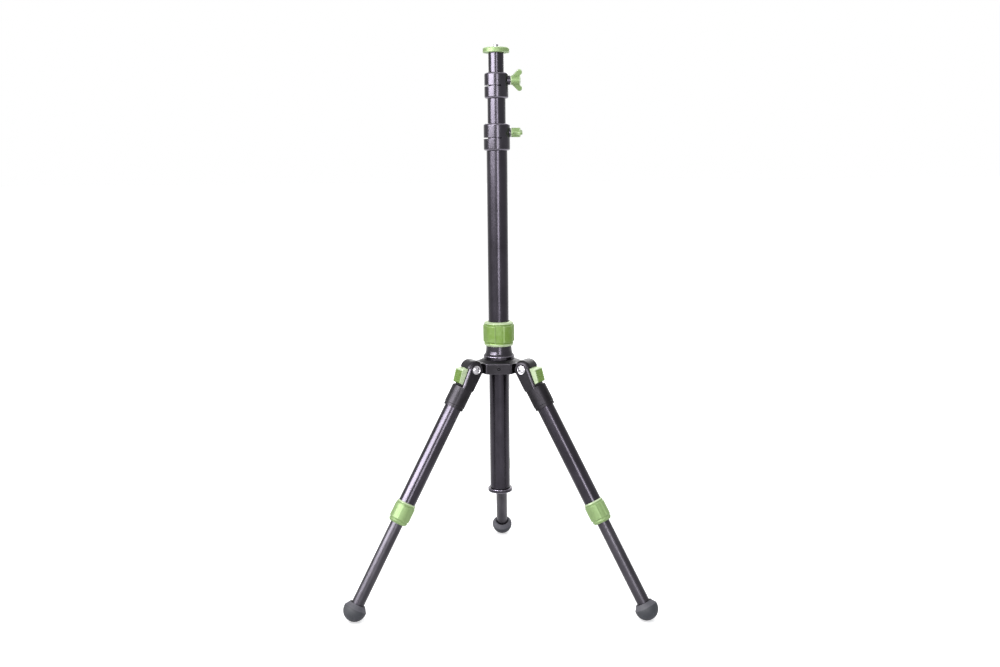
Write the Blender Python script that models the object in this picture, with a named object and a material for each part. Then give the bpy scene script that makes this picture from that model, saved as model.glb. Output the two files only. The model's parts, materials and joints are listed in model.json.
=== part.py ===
"""Elevating tripod: a hub with three folding legs and a three-stage lifting column.

Sizes are in metres, +Z is up and the feet stand on z = 0. The origin is the middle of
the footprint. Each leg is modelled in its own frame: the pivot is the origin, +Z runs
up the leg's axis, +X points away from the column and +Y is the pivot's axis.
"""

import math

import bmesh
import bpy
from mathutils import Matrix, Vector

# Clearances
GAP = 0.0003
BUSH_GAP = 0.0002

# Faces round a turned piece
ROUND = 20
SMALL = 12

# Stance
FOOT_R = 0.0140
FOOT_RING_R = 0.2010
PIVOT_R = 0.0384
PIVOT_Z = 0.2907
LEG_AZIMUTHS = (210, 330, 90)
LEG_SPREAD = math.atan2(FOOT_RING_R - PIVOT_R, PIVOT_Z - FOOT_R)
LEG_LENGTH = math.hypot(FOOT_RING_R - PIVOT_R, PIVOT_Z - FOOT_R)
COLUMN_Y = -FOOT_RING_R / 4

# Hub and its tongues
HUB_HEIGHT = 0.0130
HUB_FLAT = 0.0260
HUB_SIDE = 0.0265
HUB_CORNER = 0.0020
HUB_EDGE = 0.0008
HUB_BOSS_HEIGHT = 0.0028
HUB_BOSS_LOW_R = 0.0248
HUB_BOSS_TOP_R = 0.0200
HUB_LIP = 0.0024
TONGUE_WIDTH = 0.0120
TONGUE_NOTCH_R = 0.0042
SPREAD_STEPS = (25, 50)

# Column tubes: outside radius, wall and length; each is shorter than the one round it
OUTER_R = 0.0125
OUTER_WALL = 0.0010
OUTER_LENGTH = 0.4330
MID_R = 0.0108
MID_WALL = 0.0009
MID_SHORTER = 0.0110
MID_LENGTH = OUTER_LENGTH - MID_SHORTER
INNER_R = 0.0093
INNER_WALL = 0.0010
INNER_SHORTER = 0.0210
INNER_LENGTH = MID_LENGTH - INNER_SHORTER

# How far each stage stands out as stored
COLUMN_DROP = 0.1503
MID_SHOWS = 0.0293
INNER_SHOWS = 0.0231

# Column lock: base, collet and ring
SPIGOT_WALL = 0.0017
SPIGOT_STEP = 0.0011
SPIGOT_DEPTH = 0.0100
COLUMN_BUSH_WALL = 0.0017
BASE_FLANGE_R = 0.0193
BASE_FLANGE_HEIGHT = 0.0040
BASE_CONE_LOW_R = 0.0172
BASE_CONE_TOP_R = 0.0158
BASE_CONE_HEIGHT = 0.0120
NECK_R = 0.0154
NECK_HEIGHT = 0.0215
COLLET_WALL = 0.0008
COLLET_FLARE = 0.0010
COLLET_LENGTH = 0.0150
COLLET_HEAD = 0.0022
COLLET_SLIT = 0.0012
COLUMN_LOCK_R = 0.0192
COLUMN_LOCK_HEIGHT = 0.0302
COLUMN_LOCK_LIP = 0.0036
COLUMN_LOCK_TURN = 22
PAD_DEPTH = 0.0008

# Steps of a lock ring's grip in each fifth of a turn: degrees from the pad's middle,
# and whether the step lies in the valley beside the pad
PADS = 5
PAD_STEPS = ((-19, False), (0, False), (19, False), (23, True), (36, True), (49, True))

# Clamp collars
LOWER_COLLAR_R = 0.0158
LOWER_COLLAR_HEIGHT = 0.0320
UPPER_COLLAR_R = 0.0143
UPPER_COLLAR_HEIGHT = 0.0303
COLLAR_SLEEVE = 0.0128
COLLAR_FILLET = 0.0025
KERF_HEIGHT = 0.0016
KERF_REACH = 0.0060
BOSS_R = 0.0056
BOSS_END = 0.0180
PAD_LENGTH = 0.0022

# Wing screws
WING_SHANK_R = 0.0025
WING_HUB_R = 0.0056
WING_HUB_LENGTH = 0.0095
WING_SPAN = 0.0254
WING_REACH = 0.0148
WING_THICK = 0.0032
WING_TIP_R = 0.0030
WING_TURNS = {"lower": 98, "upper": 20}

# Guide bushes of the column
MID_BUSH_LENGTH = 0.0300
INNER_BUSH_LENGTH = 0.0250
BUSH_SPIGOT = 0.0120
BUSH_WALL = 0.0016

# End cap
CAP_R = 0.0153
CAP_HEIGHT = 0.0046
CAP_CHAMFER = 0.0014
CAP_SPIGOT = 0.0120
CAP_HOLE_R = 0.0040

# Head
HEAD_R = 0.0158
HEAD_HEIGHT = 0.0058
HEAD_CHAMFER = 0.0009
HEAD_SPIGOT = 0.0140
STUD_R = 0.003175
STUD_PROUD = 0.0045
STUD_HEAD_R = 0.0050
STUD_HEAD_HEIGHT = 0.0040
STUD_HEAD_RECESS = 0.0100
GRUB_R = 0.0014
GRUB_LENGTH = 0.0085
GRUB_RISE = 0.0024
HEX_SHARE = 0.5

# Hub set screw
SET_SCREW_R = 0.0016
SET_SCREW_PROUD = 0.0004

# Leg shoulder: a fork round the tongue over a collar round the upper tube
KNUCKLE_R = 0.0094
CHEEK_HALF = 0.0126
CHEEK_BEVEL = 0.0030
HUMP_R = 0.0112
HUMP_BACK = 100
HUMP_BEVEL = 0.0045
SEAT_LOW_X = 0.0062
SEAT_LOW_Z = -0.0240
FORK_RADIAL_GAP = 0.0005
SHOULDER_COLLAR_R = 0.0129
SHOULDER_COLLAR_TOP = 0.0255
SHOULDER_COLLAR_LENGTH = 0.0275
SHOULDER_CAP = 0.0045
SHOULDER_CHAMFER = 0.0012
SHOULDER_GROOVE = 0.0006
SHOULDER_GROOVE_RISE = 0.0035

# Pivot: barrel nut and screw, with a head each side
PIVOT_BARREL_R = 0.0024
PIVOT_HEAD_R = 0.0054
PIVOT_HEAD_HEIGHT = 0.0017
PIVOT_SUNK = 0.0012
PIVOT_THREAD_R = 0.0013
CROSS_HALF = 0.00045
CROSS_DEPTH = 0.0011

# Angle tab, its screw and its spring
TAB_HALF = 0.0080
TAB_TOP_Z = -0.0030
TAB_PEAK = (0.0157, -0.0078)
TAB_TAIL = (0.0116, -0.0233)
TAB_RIDGES = 6
TAB_RIDGE_DEPTH = 0.0006
TAB_EDGE = 0.0008
PAWL_HALF = 0.0040
PAWL_TIP_X = 0.0036
PAWL_TOP_Z = -0.0031
PAWL_LOW_Z = -0.0058
STEM_R = 0.0020
STEM_Z = -0.0160
STEM_END_X = -0.0022
POCKET_R = 0.0040
POCKET_FLOOR_X = -0.0010
TAB_SCREW_R = 0.0010
TAB_SCREW_HEAD_R = 0.0034
TAB_SCREW_HEAD = 0.0014
SPRING_R = 0.0030
SPRING_WIRE_R = 0.00025
SPRING_LENGTH = 0.0052
SPRING_TURNS = 3
SPRING_CURL_POINTS = 8

# Leg tubes
LEG_UPPER_R = 0.0105
LEG_UPPER_WALL = 0.0010
LEG_LOWER_R = 0.00775
LEG_LOWER_WALL = 0.0009

# Leg twist lock, measured down the leg from the pivot
LEG_LOCK_TOP = 0.1800
LEG_LOCK_LENGTH = 0.0270
LEG_LOCK_R = 0.01265
LEG_LOCK_LIP = 0.0024
LEG_LOCK_OVERLAP = 0.0110
LEG_COLLET_SPIGOT = 0.0130
LEG_PAD_DEPTH = 0.0006

# Guide bush on the lower tube
LEG_BUSH_LENGTH = 0.0180
LEG_BUSH_LIP = 0.0015

# Foot
FOOT_RIM_R = 0.0098
FOOT_RIM_RISE = 0.0080
FOOT_ARC_STEPS = 7
FOOT_SOCKET = 0.0112

# Heights that several pieces share
HUB_LOW_Z = PIVOT_Z - HUB_HEIGHT / 2
HUB_TOP_Z = PIVOT_Z + HUB_HEIGHT / 2
BOSS_TOP_Z = HUB_TOP_Z + HUB_BOSS_HEIGHT
BASE_Z = BOSS_TOP_Z + GAP
CONE_TOP_Z = BASE_Z + BASE_CONE_HEIGHT + BASE_FLANGE_HEIGHT
COLUMN_LOCK_Z = CONE_TOP_Z + GAP
CAP_TOP_Z = HUB_LOW_Z - COLUMN_DROP
OUTER_LOW_Z = CAP_TOP_Z + GAP
OUTER_TOP_Z = OUTER_LOW_Z + OUTER_LENGTH
LOWER_COLLAR_Z = OUTER_TOP_Z - COLLAR_SLEEVE
LOWER_COLLAR_TOP_Z = LOWER_COLLAR_Z + LOWER_COLLAR_HEIGHT
UPPER_COLLAR_Z = LOWER_COLLAR_TOP_Z + MID_SHOWS
MID_TOP_Z = UPPER_COLLAR_Z + COLLAR_SLEEVE
MID_LOW_Z = MID_TOP_Z - MID_LENGTH
UPPER_COLLAR_TOP_Z = UPPER_COLLAR_Z + UPPER_COLLAR_HEIGHT
HEAD_Z = UPPER_COLLAR_TOP_Z + INNER_SHOWS
INNER_TOP_Z = HEAD_Z - GAP
INNER_LOW_Z = INNER_TOP_Z - INNER_LENGTH
KERF_RISE = COLLAR_SLEEVE + GAP + KERF_HEIGHT
CLAMP_RISE = KERF_RISE + KERF_HEIGHT / 2 + BOSS_R + GAP
SPIGOT_R = NECK_R + SPIGOT_STEP
TONGUE_R = HUB_HEIGHT / 2

# Colours
FINISHES = {
    "black_anodised": ((0.020, 0.018, 0.024), 0.30, 0.9),
    "black_casting": ((0.024, 0.023, 0.027), 0.45, 0.2),
    "green_anodised": ((0.33, 0.52, 0.13), 0.32, 0.7),
    "steel": ((0.62, 0.62, 0.64), 0.28, 1.0),
    "nylon": ((0.05, 0.05, 0.055), 0.50, 0.0),
    "rubber": ((0.085, 0.09, 0.11), 0.75, 0.0),
}


def clear_scene():
    """Remove every object that the file opened with."""
    for thing in list(bpy.data.objects):
        bpy.data.objects.remove(thing, do_unlink=True)


def finish_material(name):
    """Make one of the finishes as a Principled material."""
    colour, roughness, metallic = FINISHES[name]
    material = bpy.data.materials.new(name)
    material.use_nodes = True
    shader = material.node_tree.nodes["Principled BSDF"]
    shader.inputs["Base Color"].default_value = (*colour, 1.0)
    shader.inputs["Roughness"].default_value = roughness
    shader.inputs["Metallic"].default_value = metallic
    return material


def arc(centre, radius, start, end, steps):
    """Points on an arc, with both ends; angles are in degrees."""
    points = []
    for index in range(steps + 1):
        angle = math.radians(start + (end - start) * index / steps)
        points.append((centre[0] + radius * math.cos(angle), centre[1] + radius * math.sin(angle)))
    return points


def turned(outline, steps=ROUND):
    """Spin an outline of (radius, height) points about Z; a closed one makes a ring."""
    shape = bmesh.new()
    corners = [shape.verts.new((radius, 0, height)) for radius, height in outline]
    edges = [shape.edges.new(pair) for pair in zip(corners, corners[1:])]
    if outline[0][0] > 0:
        edges.append(shape.edges.new((corners[-1], corners[0])))
    bmesh.ops.spin(shape, geom=corners + edges, cent=(0, 0, 0), axis=(0, 0, 1),
                   angle=math.tau, steps=steps, use_merge=True)
    bmesh.ops.remove_doubles(shape, verts=shape.verts, dist=1e-6)
    bmesh.ops.recalc_face_normals(shape, faces=shape.faces)
    return shape


def upright(outline, low, high):
    """Extrude an outline in X and Y from one height to another."""
    shape = bmesh.new()
    face = shape.faces.new([shape.verts.new((x, y, low)) for x, y in outline])
    extruded = bmesh.ops.extrude_face_region(shape, geom=[face])
    top = [item for item in extruded["geom"] if isinstance(item, bmesh.types.BMVert)]
    bmesh.ops.translate(shape, verts=top, vec=(0, 0, high - low))
    bmesh.ops.recalc_face_normals(shape, faces=shape.faces)
    return shape


def sideways(outline, half):
    """Extrude an outline in X and Z to the same depth either side of the XZ plane."""
    shape = upright(outline, -half, half)
    return moved(shape, Matrix.Rotation(math.radians(90), 4, "X"))


def block(low, high):
    """A box between two corners."""
    outline = [(low[0], low[1]), (high[0], low[1]), (high[0], high[1]), (low[0], high[1])]
    return upright(outline, low[2], high[2])


def rod(radius, low, high, steps=SMALL):
    """A plain round bar along Z."""
    return upright(arc((0, 0), radius, 0, 360, steps)[:-1], low, high)


def moved(shape, matrix):
    """Turn or shift a shape and hand it back."""
    bmesh.ops.transform(shape, matrix=matrix, verts=shape.verts)
    return shape


def along_x(shape):
    """Lay a shape modelled along Z down along X."""
    return moved(shape, Matrix.Rotation(math.radians(90), 4, "Y"))


def along_y(shape):
    """Lay a shape modelled along Z down along Y."""
    return moved(shape, Matrix.Rotation(math.radians(-90), 4, "X"))


def bevelled(shape, width, chosen, segments=1):
    """Bevel the edges for which chosen(middle, direction) is true."""
    edges = []
    for edge in shape.edges:
        start, end = (vert.co for vert in edge.verts)
        if chosen((start + end) / 2, (end - start).normalized()):
            edges.append(edge)
    bmesh.ops.bevel(shape, geom=edges, offset=width, segments=segments, profile=0.5,
                    affect="EDGES", clamp_overlap=True, material=-1)
    return shape


def as_mesh(shape, name):
    """Turn a bmesh into a mesh and free it."""
    mesh = bpy.data.meshes.new(name)
    shape.to_mesh(mesh)
    shape.free()
    return mesh


def combined(base, *steps):
    """Apply ("UNION", "DIFFERENCE" or "INTERSECT", shape) steps to a base shape."""
    body = bpy.data.objects.new("combined", as_mesh(base, "combined"))
    bpy.context.collection.objects.link(body)
    tools = []
    for operation, shape in steps:
        tool = bpy.data.objects.new("tool", as_mesh(shape, "tool"))
        bpy.context.collection.objects.link(tool)
        modifier = body.modifiers.new(operation, "BOOLEAN")
        modifier.operation = operation
        modifier.solver = "EXACT"
        modifier.object = tool
        tools.append(tool)
    graph = bpy.context.evaluated_depsgraph_get()
    mesh = bpy.data.meshes.new_from_object(body.evaluated_get(graph))
    for thing in [body, *tools]:
        bpy.data.objects.remove(thing, do_unlink=True)
    return mesh


def place(name, shape, finish, parent, location=(0, 0, 0)):
    """Add a named piece made of a bmesh, a mesh or a curve."""
    data = as_mesh(shape, name) if isinstance(shape, bmesh.types.BMesh) else shape
    data.materials.clear()
    data.materials.append(MATERIALS[finish])
    if isinstance(data, bpy.types.Mesh):
        data.shade_smooth()
        data.set_sharp_from_angle(angle=math.radians(32))
    piece = bpy.data.objects.new(name, data)
    bpy.context.collection.objects.link(piece)
    piece.parent = parent
    piece.location = location
    return piece


def frame(name, location, rotation=(0, 0, 0)):
    """Add an empty that carries pieces."""
    empty = bpy.data.objects.new(name, None)
    bpy.context.collection.objects.link(empty)
    empty.location = location
    empty.rotation_euler = rotation
    return empty


def tube(radius, wall, low, high):
    """An open tube along Z."""
    inside = radius - wall
    return turned([(radius, high), (radius, low), (inside, low), (inside, high)])


def hexagon(radius, low, high):
    """A six-sided bar along Z, for a hexagon socket."""
    return upright(arc((0, 0), radius, 0, 300, 5), low, high)


def cross(reach, low, high):
    """A plus-shaped bar along Z, for a cross recess."""
    quarter = [Vector((reach, -CROSS_HALF)), Vector((reach, CROSS_HALF)), Vector((CROSS_HALF, CROSS_HALF))]
    points = []
    for turn in range(4):
        points += [Matrix.Rotation(math.radians(90 * turn), 2) @ point for point in quarter]
    return upright(points, low, high)


# ---- Hub -------------------------------------------------------------------------


def hub_outline():
    """Six sides: three long ones between the legs and three at the tongues."""
    half = (2 * HUB_FLAT - HUB_SIDE) * math.tan(math.radians(30))
    points = []
    for azimuth in sorted(LEG_AZIMUTHS):
        across = Matrix.Rotation(math.radians(azimuth), 2)
        for side in (-half, half):
            corner = across @ Vector((HUB_SIDE, side))
            points.append((corner.x, corner.y))
    return points


def tongue_shape():
    """A tongue along +X with a round nose on the pivot."""
    nose = arc((PIVOT_R, 0), TONGUE_R, -90, 90, 10)
    root = SPIGOT_R + SPIGOT_WALL
    return sideways([(root, -TONGUE_R), *nose, (root, TONGUE_R)], TONGUE_WIDTH / 2)


def nose_notches():
    """Cutters for the nose's steps, in the frame of a leg as it stands."""
    reach = TONGUE_R + 2 * FORK_RADIAL_GAP
    stop_z = PAWL_TOP_Z + GAP
    stop_angle = math.degrees(math.asin(stop_z / TONGUE_NOTCH_R))
    reach_angle = math.degrees(math.asin(stop_z / reach))
    end_angle = stop_angle - math.degrees(LEG_SPREAD) - 28
    swept = arc((0, 0), reach, reach_angle, end_angle, 4)
    swept += arc((0, 0), TONGUE_NOTCH_R, end_angle, stop_angle, 4)
    cutters = [sideways(swept, TONGUE_WIDTH)]
    tip_x = PAWL_TIP_X - GAP
    low_z = PAWL_LOW_Z - GAP
    notch = [(tip_x, low_z), (reach, low_z), (reach, stop_z), (tip_x, stop_z)]
    for step in SPREAD_STEPS:
        turn = Matrix.Rotation(math.radians(-step), 4, "Y")
        cutters.append(moved(sideways(notch, TONGUE_WIDTH), turn))
    return cutters


def hub_mesh():
    """The spider: a six-sided body with a raised boss, three tongues and the bore."""
    body = upright(hub_outline(), HUB_LOW_Z, HUB_TOP_Z)
    bevelled(body, HUB_CORNER, lambda middle, along: abs(along.z) > 0.9)
    bevelled(body, HUB_EDGE, lambda middle, along: abs(along.z) < 0.1)
    sunk = HUB_HEIGHT / 4
    boss = turned([(0, HUB_TOP_Z - sunk), (HUB_BOSS_LOW_R, HUB_TOP_Z - sunk), (HUB_BOSS_LOW_R, HUB_TOP_Z),
                   (HUB_BOSS_TOP_R, BOSS_TOP_Z), (0, BOSS_TOP_Z)], 30)
    steps = [("UNION", boss)]
    for azimuth in LEG_AZIMUTHS:
        turn = Matrix.Rotation(math.radians(azimuth), 4, "Z")
        out = turn @ Matrix.Translation((PIVOT_R, 0, PIVOT_Z))
        steps.append(("UNION", moved(tongue_shape(), turn @ Matrix.Translation((0, 0, PIVOT_Z)))))
        hole = along_y(rod(PIVOT_BARREL_R + GAP, -TONGUE_WIDTH, TONGUE_WIDTH))
        steps.append(("DIFFERENCE", moved(hole, out)))
        for cutter in nose_notches():
            steps.append(("DIFFERENCE", moved(cutter, out @ Matrix.Rotation(-LEG_SPREAD, 4, "Y"))))
    bore = rod(OUTER_R + 2 * GAP, HUB_LOW_Z - HUB_LIP, BOSS_TOP_Z + HUB_LIP, ROUND)
    spigot = rod(SPIGOT_R + GAP, HUB_LOW_Z + HUB_LIP, BOSS_TOP_Z + HUB_LIP, ROUND)
    screw = rod(SET_SCREW_R + GAP, SPIGOT_R - SPIGOT_WALL / 2, HUB_FLAT + HUB_LIP)
    screw = moved(along_y(screw), Matrix.Translation((0, 0, PIVOT_Z)) @ Matrix.Rotation(math.pi, 4, "Z"))
    steps += [("DIFFERENCE", bore), ("DIFFERENCE", spigot), ("DIFFERENCE", screw)]
    return combined(body, *steps)


def set_screw_shape():
    """Domed screw along -Y, tip on the base's spigot and head just proud of the hub."""
    head = HUB_FLAT + SET_SCREW_PROUD
    tip = SPIGOT_R + GAP
    body = turned([(0, tip), (SET_SCREW_R, tip), (SET_SCREW_R, head - SET_SCREW_R / 2),
                   (SET_SCREW_R * 0.7, head), (0, head)], 12)
    return moved(along_y(body), Matrix.Rotation(math.pi, 4, "Z"))


# ---- Column lock -----------------------------------------------------------------


def lock_base_shape():
    """Cone with a flange, a spigot below it and a neck above it."""
    flange_top = BASE_Z + BASE_FLANGE_HEIGHT
    neck_top = CONE_TOP_Z + NECK_HEIGHT
    spigot_low = BASE_Z - SPIGOT_DEPTH
    bush_top = BASE_Z + BASE_FLANGE_HEIGHT
    guide_r = OUTER_R + 2 * GAP
    bush_seat = OUTER_R + GAP + COLUMN_BUSH_WALL + GAP
    seat_low = neck_top - COLLET_LENGTH - GAP
    seat_low_r = OUTER_R + GAP + COLLET_WALL + GAP
    seat_top_r = seat_low_r + COLLET_FLARE
    edge = 0.0007
    return turned([
        (NECK_R, neck_top), (NECK_R, CONE_TOP_Z), (BASE_CONE_TOP_R, CONE_TOP_Z),
        (BASE_CONE_LOW_R, flange_top + edge), (BASE_FLANGE_R - edge, flange_top),
        (BASE_FLANGE_R, flange_top - edge), (BASE_FLANGE_R, BASE_Z),
        (SPIGOT_R, BASE_Z), (SPIGOT_R, spigot_low), (bush_seat, spigot_low), (bush_seat, bush_top),
        (guide_r, bush_top), (guide_r, seat_low), (seat_low_r, seat_low), (seat_top_r, neck_top),
    ])


def hub_bush_shape():
    """Sleeve between the hub's lip and the base."""
    low = BASE_Z - SPIGOT_DEPTH + GAP
    high = BASE_Z + BASE_FLANGE_HEIGHT - GAP
    return tube(OUTER_R + GAP + COLUMN_BUSH_WALL, COLUMN_BUSH_WALL, low, high)


def column_collet_mesh():
    """Tapered split ring with a head that the lock ring presses on."""
    neck_top = CONE_TOP_Z + NECK_HEIGHT
    inside = OUTER_R + GAP
    low_r = inside + COLLET_WALL
    top_r = low_r + COLLET_FLARE
    head_low = neck_top + GAP
    body = turned([
        (NECK_R - GAP, head_low + COLLET_HEAD), (NECK_R - GAP, head_low), (top_r, head_low),
        (top_r, neck_top), (low_r, neck_top - COLLET_LENGTH), (inside, neck_top - COLLET_LENGTH),
        (inside, head_low + COLLET_HEAD),
    ], 24)
    slit = block((0, -COLLET_SLIT / 2, neck_top - 2 * COLLET_LENGTH),
                 (2 * NECK_R, COLLET_SLIT / 2, head_low + 2 * COLLET_HEAD))
    return combined(body, ("DIFFERENCE", slit))


def padded(shape, radius, depth):
    """Gather a ring's steps into raised grip pads with valleys between them."""
    count = len(PAD_STEPS)
    for vert in shape.verts:
        step = round(math.atan2(vert.co.y, vert.co.x) / math.tau * PADS * count)
        pad, place_in_pad = divmod(step, count)
        offset, in_valley = PAD_STEPS[place_in_pad]
        angle = math.tau * pad / PADS + math.radians(offset)
        reach = math.hypot(vert.co.x, vert.co.y)
        if in_valley and abs(reach - radius) < 1e-5:
            reach -= depth
        vert.co.x = reach * math.cos(angle)
        vert.co.y = reach * math.sin(angle)
    return shape


def column_lock_shape():
    """Twist ring: padded grip under a top ring, tapered below and bored over the neck."""
    low = COLUMN_LOCK_Z
    top = low + COLUMN_LOCK_HEIGHT
    grip = COLUMN_LOCK_R
    neck = NECK_R + GAP
    lip = OUTER_R + 2 * GAP
    shape = turned([
        (grip - 0.0042, top), (grip - 0.0026, top - 0.0007), (grip - 0.0012, top - 0.0024),
        (grip - 0.0016, top - 0.0036), (grip, top - 0.0048),
        (grip, low + 0.0056), (grip - 0.0013, low + 0.0008), (grip - 0.0022, low),
        (neck, low), (neck, top - COLUMN_LOCK_LIP), (lip, top - COLUMN_LOCK_LIP), (lip, top),
    ], PADS * len(PAD_STEPS))
    padded(shape, grip, PAD_DEPTH)
    return moved(shape, Matrix.Rotation(math.radians(COLUMN_LOCK_TURN), 4, "Z"))


# ---- Column ----------------------------------------------------------------------


def end_cap_shape():
    """Rounded flange under the tube with a hollow spigot inside it."""
    low = CAP_TOP_Z - CAP_HEIGHT
    spigot_r = OUTER_R - OUTER_WALL - GAP
    spigot_top = CAP_TOP_Z + CAP_SPIGOT
    return turned([
        (spigot_r - CAP_CHAMFER / 2, spigot_top), (spigot_r, spigot_top - CAP_CHAMFER),
        (spigot_r, CAP_TOP_Z), (CAP_R - CAP_CHAMFER / 2, CAP_TOP_Z), (CAP_R, CAP_TOP_Z - CAP_CHAMFER / 2),
        (CAP_R, low + CAP_CHAMFER), (CAP_R - CAP_CHAMFER, low),
        (CAP_HOLE_R, low), (CAP_HOLE_R, spigot_top),
    ])


def clamp_collar_mesh(collar_r, height, tube_r, next_r):
    """Collar: a sleeve on one tube, a kerf, and a band with a screw boss on the next."""
    sleeve_r = tube_r + GAP
    band_r = next_r + GAP
    fillet = COLLAR_FILLET
    step = COLLAR_SLEEVE + GAP
    outline = [(sleeve_r, 0)]
    outline += arc((collar_r - fillet, fillet), fillet, -90, 0, 2)
    outline += arc((collar_r - fillet, height - fillet), fillet, 0, 90, 2)
    outline += [(band_r, height), (band_r, step), (sleeve_r, step)]
    body = turned(outline, 24)
    boss = along_x(rod(BOSS_R, collar_r - fillet, BOSS_END))
    boss = moved(boss, Matrix.Translation((0, 0, CLAMP_RISE)))
    hole = along_x(rod(WING_SHANK_R + GAP, next_r / 2, BOSS_END + fillet))
    hole = moved(hole, Matrix.Translation((0, 0, CLAMP_RISE)))
    kerf = block((-2 * collar_r, -2 * collar_r, KERF_RISE - KERF_HEIGHT / 2),
                 (KERF_REACH, 2 * collar_r, KERF_RISE + KERF_HEIGHT / 2))
    return combined(body, ("UNION", boss), ("DIFFERENCE", hole), ("DIFFERENCE", kerf))


def pad_shape(next_r):
    """Round brake pad between the wing screw's tip and the tube."""
    start = next_r + GAP
    return along_x(rod(WING_SHANK_R, start, start + PAD_LENGTH))


def wing_outline():
    """One wing in X (span) and Z (along the screw), flared out from the knob's hub."""
    tip_x = WING_SPAN / 2 - WING_TIP_R
    tip_z = WING_REACH - WING_TIP_R
    root_x = WING_HUB_R / 2
    tip = arc((tip_x, tip_z), WING_TIP_R, -40, 130, 6)
    return [(root_x, WING_REACH * 0.12), (WING_HUB_R, WING_REACH * 0.14), *tip, (root_x, WING_HUB_LENGTH * 0.92)]


def wing_screw_mesh(next_r):
    """Knob with two wings on a shank; +Z points out of the boss, z = 0 is its face."""
    shank_low = next_r + GAP + PAD_LENGTH + GAP - BOSS_END
    face = GAP
    knob_top = face + WING_HUB_LENGTH
    round_off = 0.0012
    knob = turned([
        (0, shank_low), (WING_SHANK_R, shank_low), (WING_SHANK_R, face), (WING_HUB_R - 0.0006, face),
        (WING_HUB_R, face + 0.0006), (WING_HUB_R, knob_top - round_off), (WING_HUB_R - round_off, knob_top),
        (0, knob_top),
    ], 20)
    steps = []
    for turn in (0, math.pi):
        wing = sideways(wing_outline(), WING_THICK / 2)
        steps.append(("UNION", moved(wing, Matrix.Rotation(turn, 4, "Z") @ Matrix.Translation((0, 0, face)))))
    return combined(knob, *steps)


def glide_bush_shape(bore_r, tube_r, wall, low_z, length):
    """Bush under a tube: a long guide in the bore and a spigot up inside the tube."""
    guide_r = bore_r - BUSH_GAP
    spigot_r = tube_r - wall - GAP
    inside = spigot_r - BUSH_WALL
    top = low_z - GAP
    ease = 0.0008
    return turned([
        (spigot_r, top + BUSH_SPIGOT), (spigot_r, top), (guide_r, top),
        (guide_r, top - length + ease), (guide_r - ease, top - length), (inside, top - length),
        (inside, top + BUSH_SPIGOT),
    ])


def head_plate_mesh():
    """Round plate with a spigot in the inner tube, bored for the stud and a grub screw."""
    top = HEAD_Z + HEAD_HEIGHT
    low = HEAD_Z - HEAD_SPIGOT
    spigot_r = INNER_R - INNER_WALL - GAP
    bore = STUD_R + GAP
    recess = STUD_HEAD_R + GAP
    body = turned([
        (bore, top), (HEAD_R - HEAD_CHAMFER, top), (HEAD_R, top - HEAD_CHAMFER), (HEAD_R, HEAD_Z + HEAD_CHAMFER),
        (HEAD_R - HEAD_CHAMFER, HEAD_Z), (spigot_r, HEAD_Z), (spigot_r, low), (recess, low),
        (recess, low + STUD_HEAD_RECESS), (bore, low + STUD_HEAD_RECESS),
    ], 24)
    grub = along_x(rod(GRUB_R + GAP, STUD_R, HEAD_R + HEAD_CHAMFER, 12))
    return combined(body, ("DIFFERENCE", moved(grub, Matrix.Translation((0, 0, HEAD_Z + GRUB_RISE)))))


def stud_mesh():
    """Stud with a chamfered tip above the plate and a round slotted head in the recess."""
    top = HEAD_Z + HEAD_HEIGHT + STUD_PROUD
    head_top = HEAD_Z - HEAD_SPIGOT + STUD_HEAD_RECESS - GAP
    head_low = head_top - STUD_HEAD_HEIGHT
    chamfer = 0.0006
    body = turned([
        (0, top), (STUD_R - chamfer, top), (STUD_R, top - chamfer), (STUD_R, head_top), (STUD_HEAD_R, head_top),
        (STUD_HEAD_R, head_low), (0, head_low),
    ], 16)
    slot = block((-2 * STUD_HEAD_R, -chamfer, head_low - chamfer), (2 * STUD_HEAD_R, chamfer, head_low + 2 * chamfer))
    return combined(body, ("DIFFERENCE", slot))


def grub_mesh():
    """Socket grub screw along X, its tip on the stud and its socket at the rim."""
    start = STUD_R + GAP
    end = start + GRUB_LENGTH
    body = rod(GRUB_R, start, end, 12)
    socket = hexagon(GRUB_R * HEX_SHARE, end - GRUB_R, end + GRUB_R)
    return combined(along_x(body), ("DIFFERENCE", along_x(socket)))


# ---- Leg -------------------------------------------------------------------------


def seat_x(height):
    """The tab's seat on the shoulder leans in towards the collar."""
    share = height / SEAT_LOW_Z
    return KNUCKLE_R + (SEAT_LOW_X - KNUCKLE_R) * share


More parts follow.
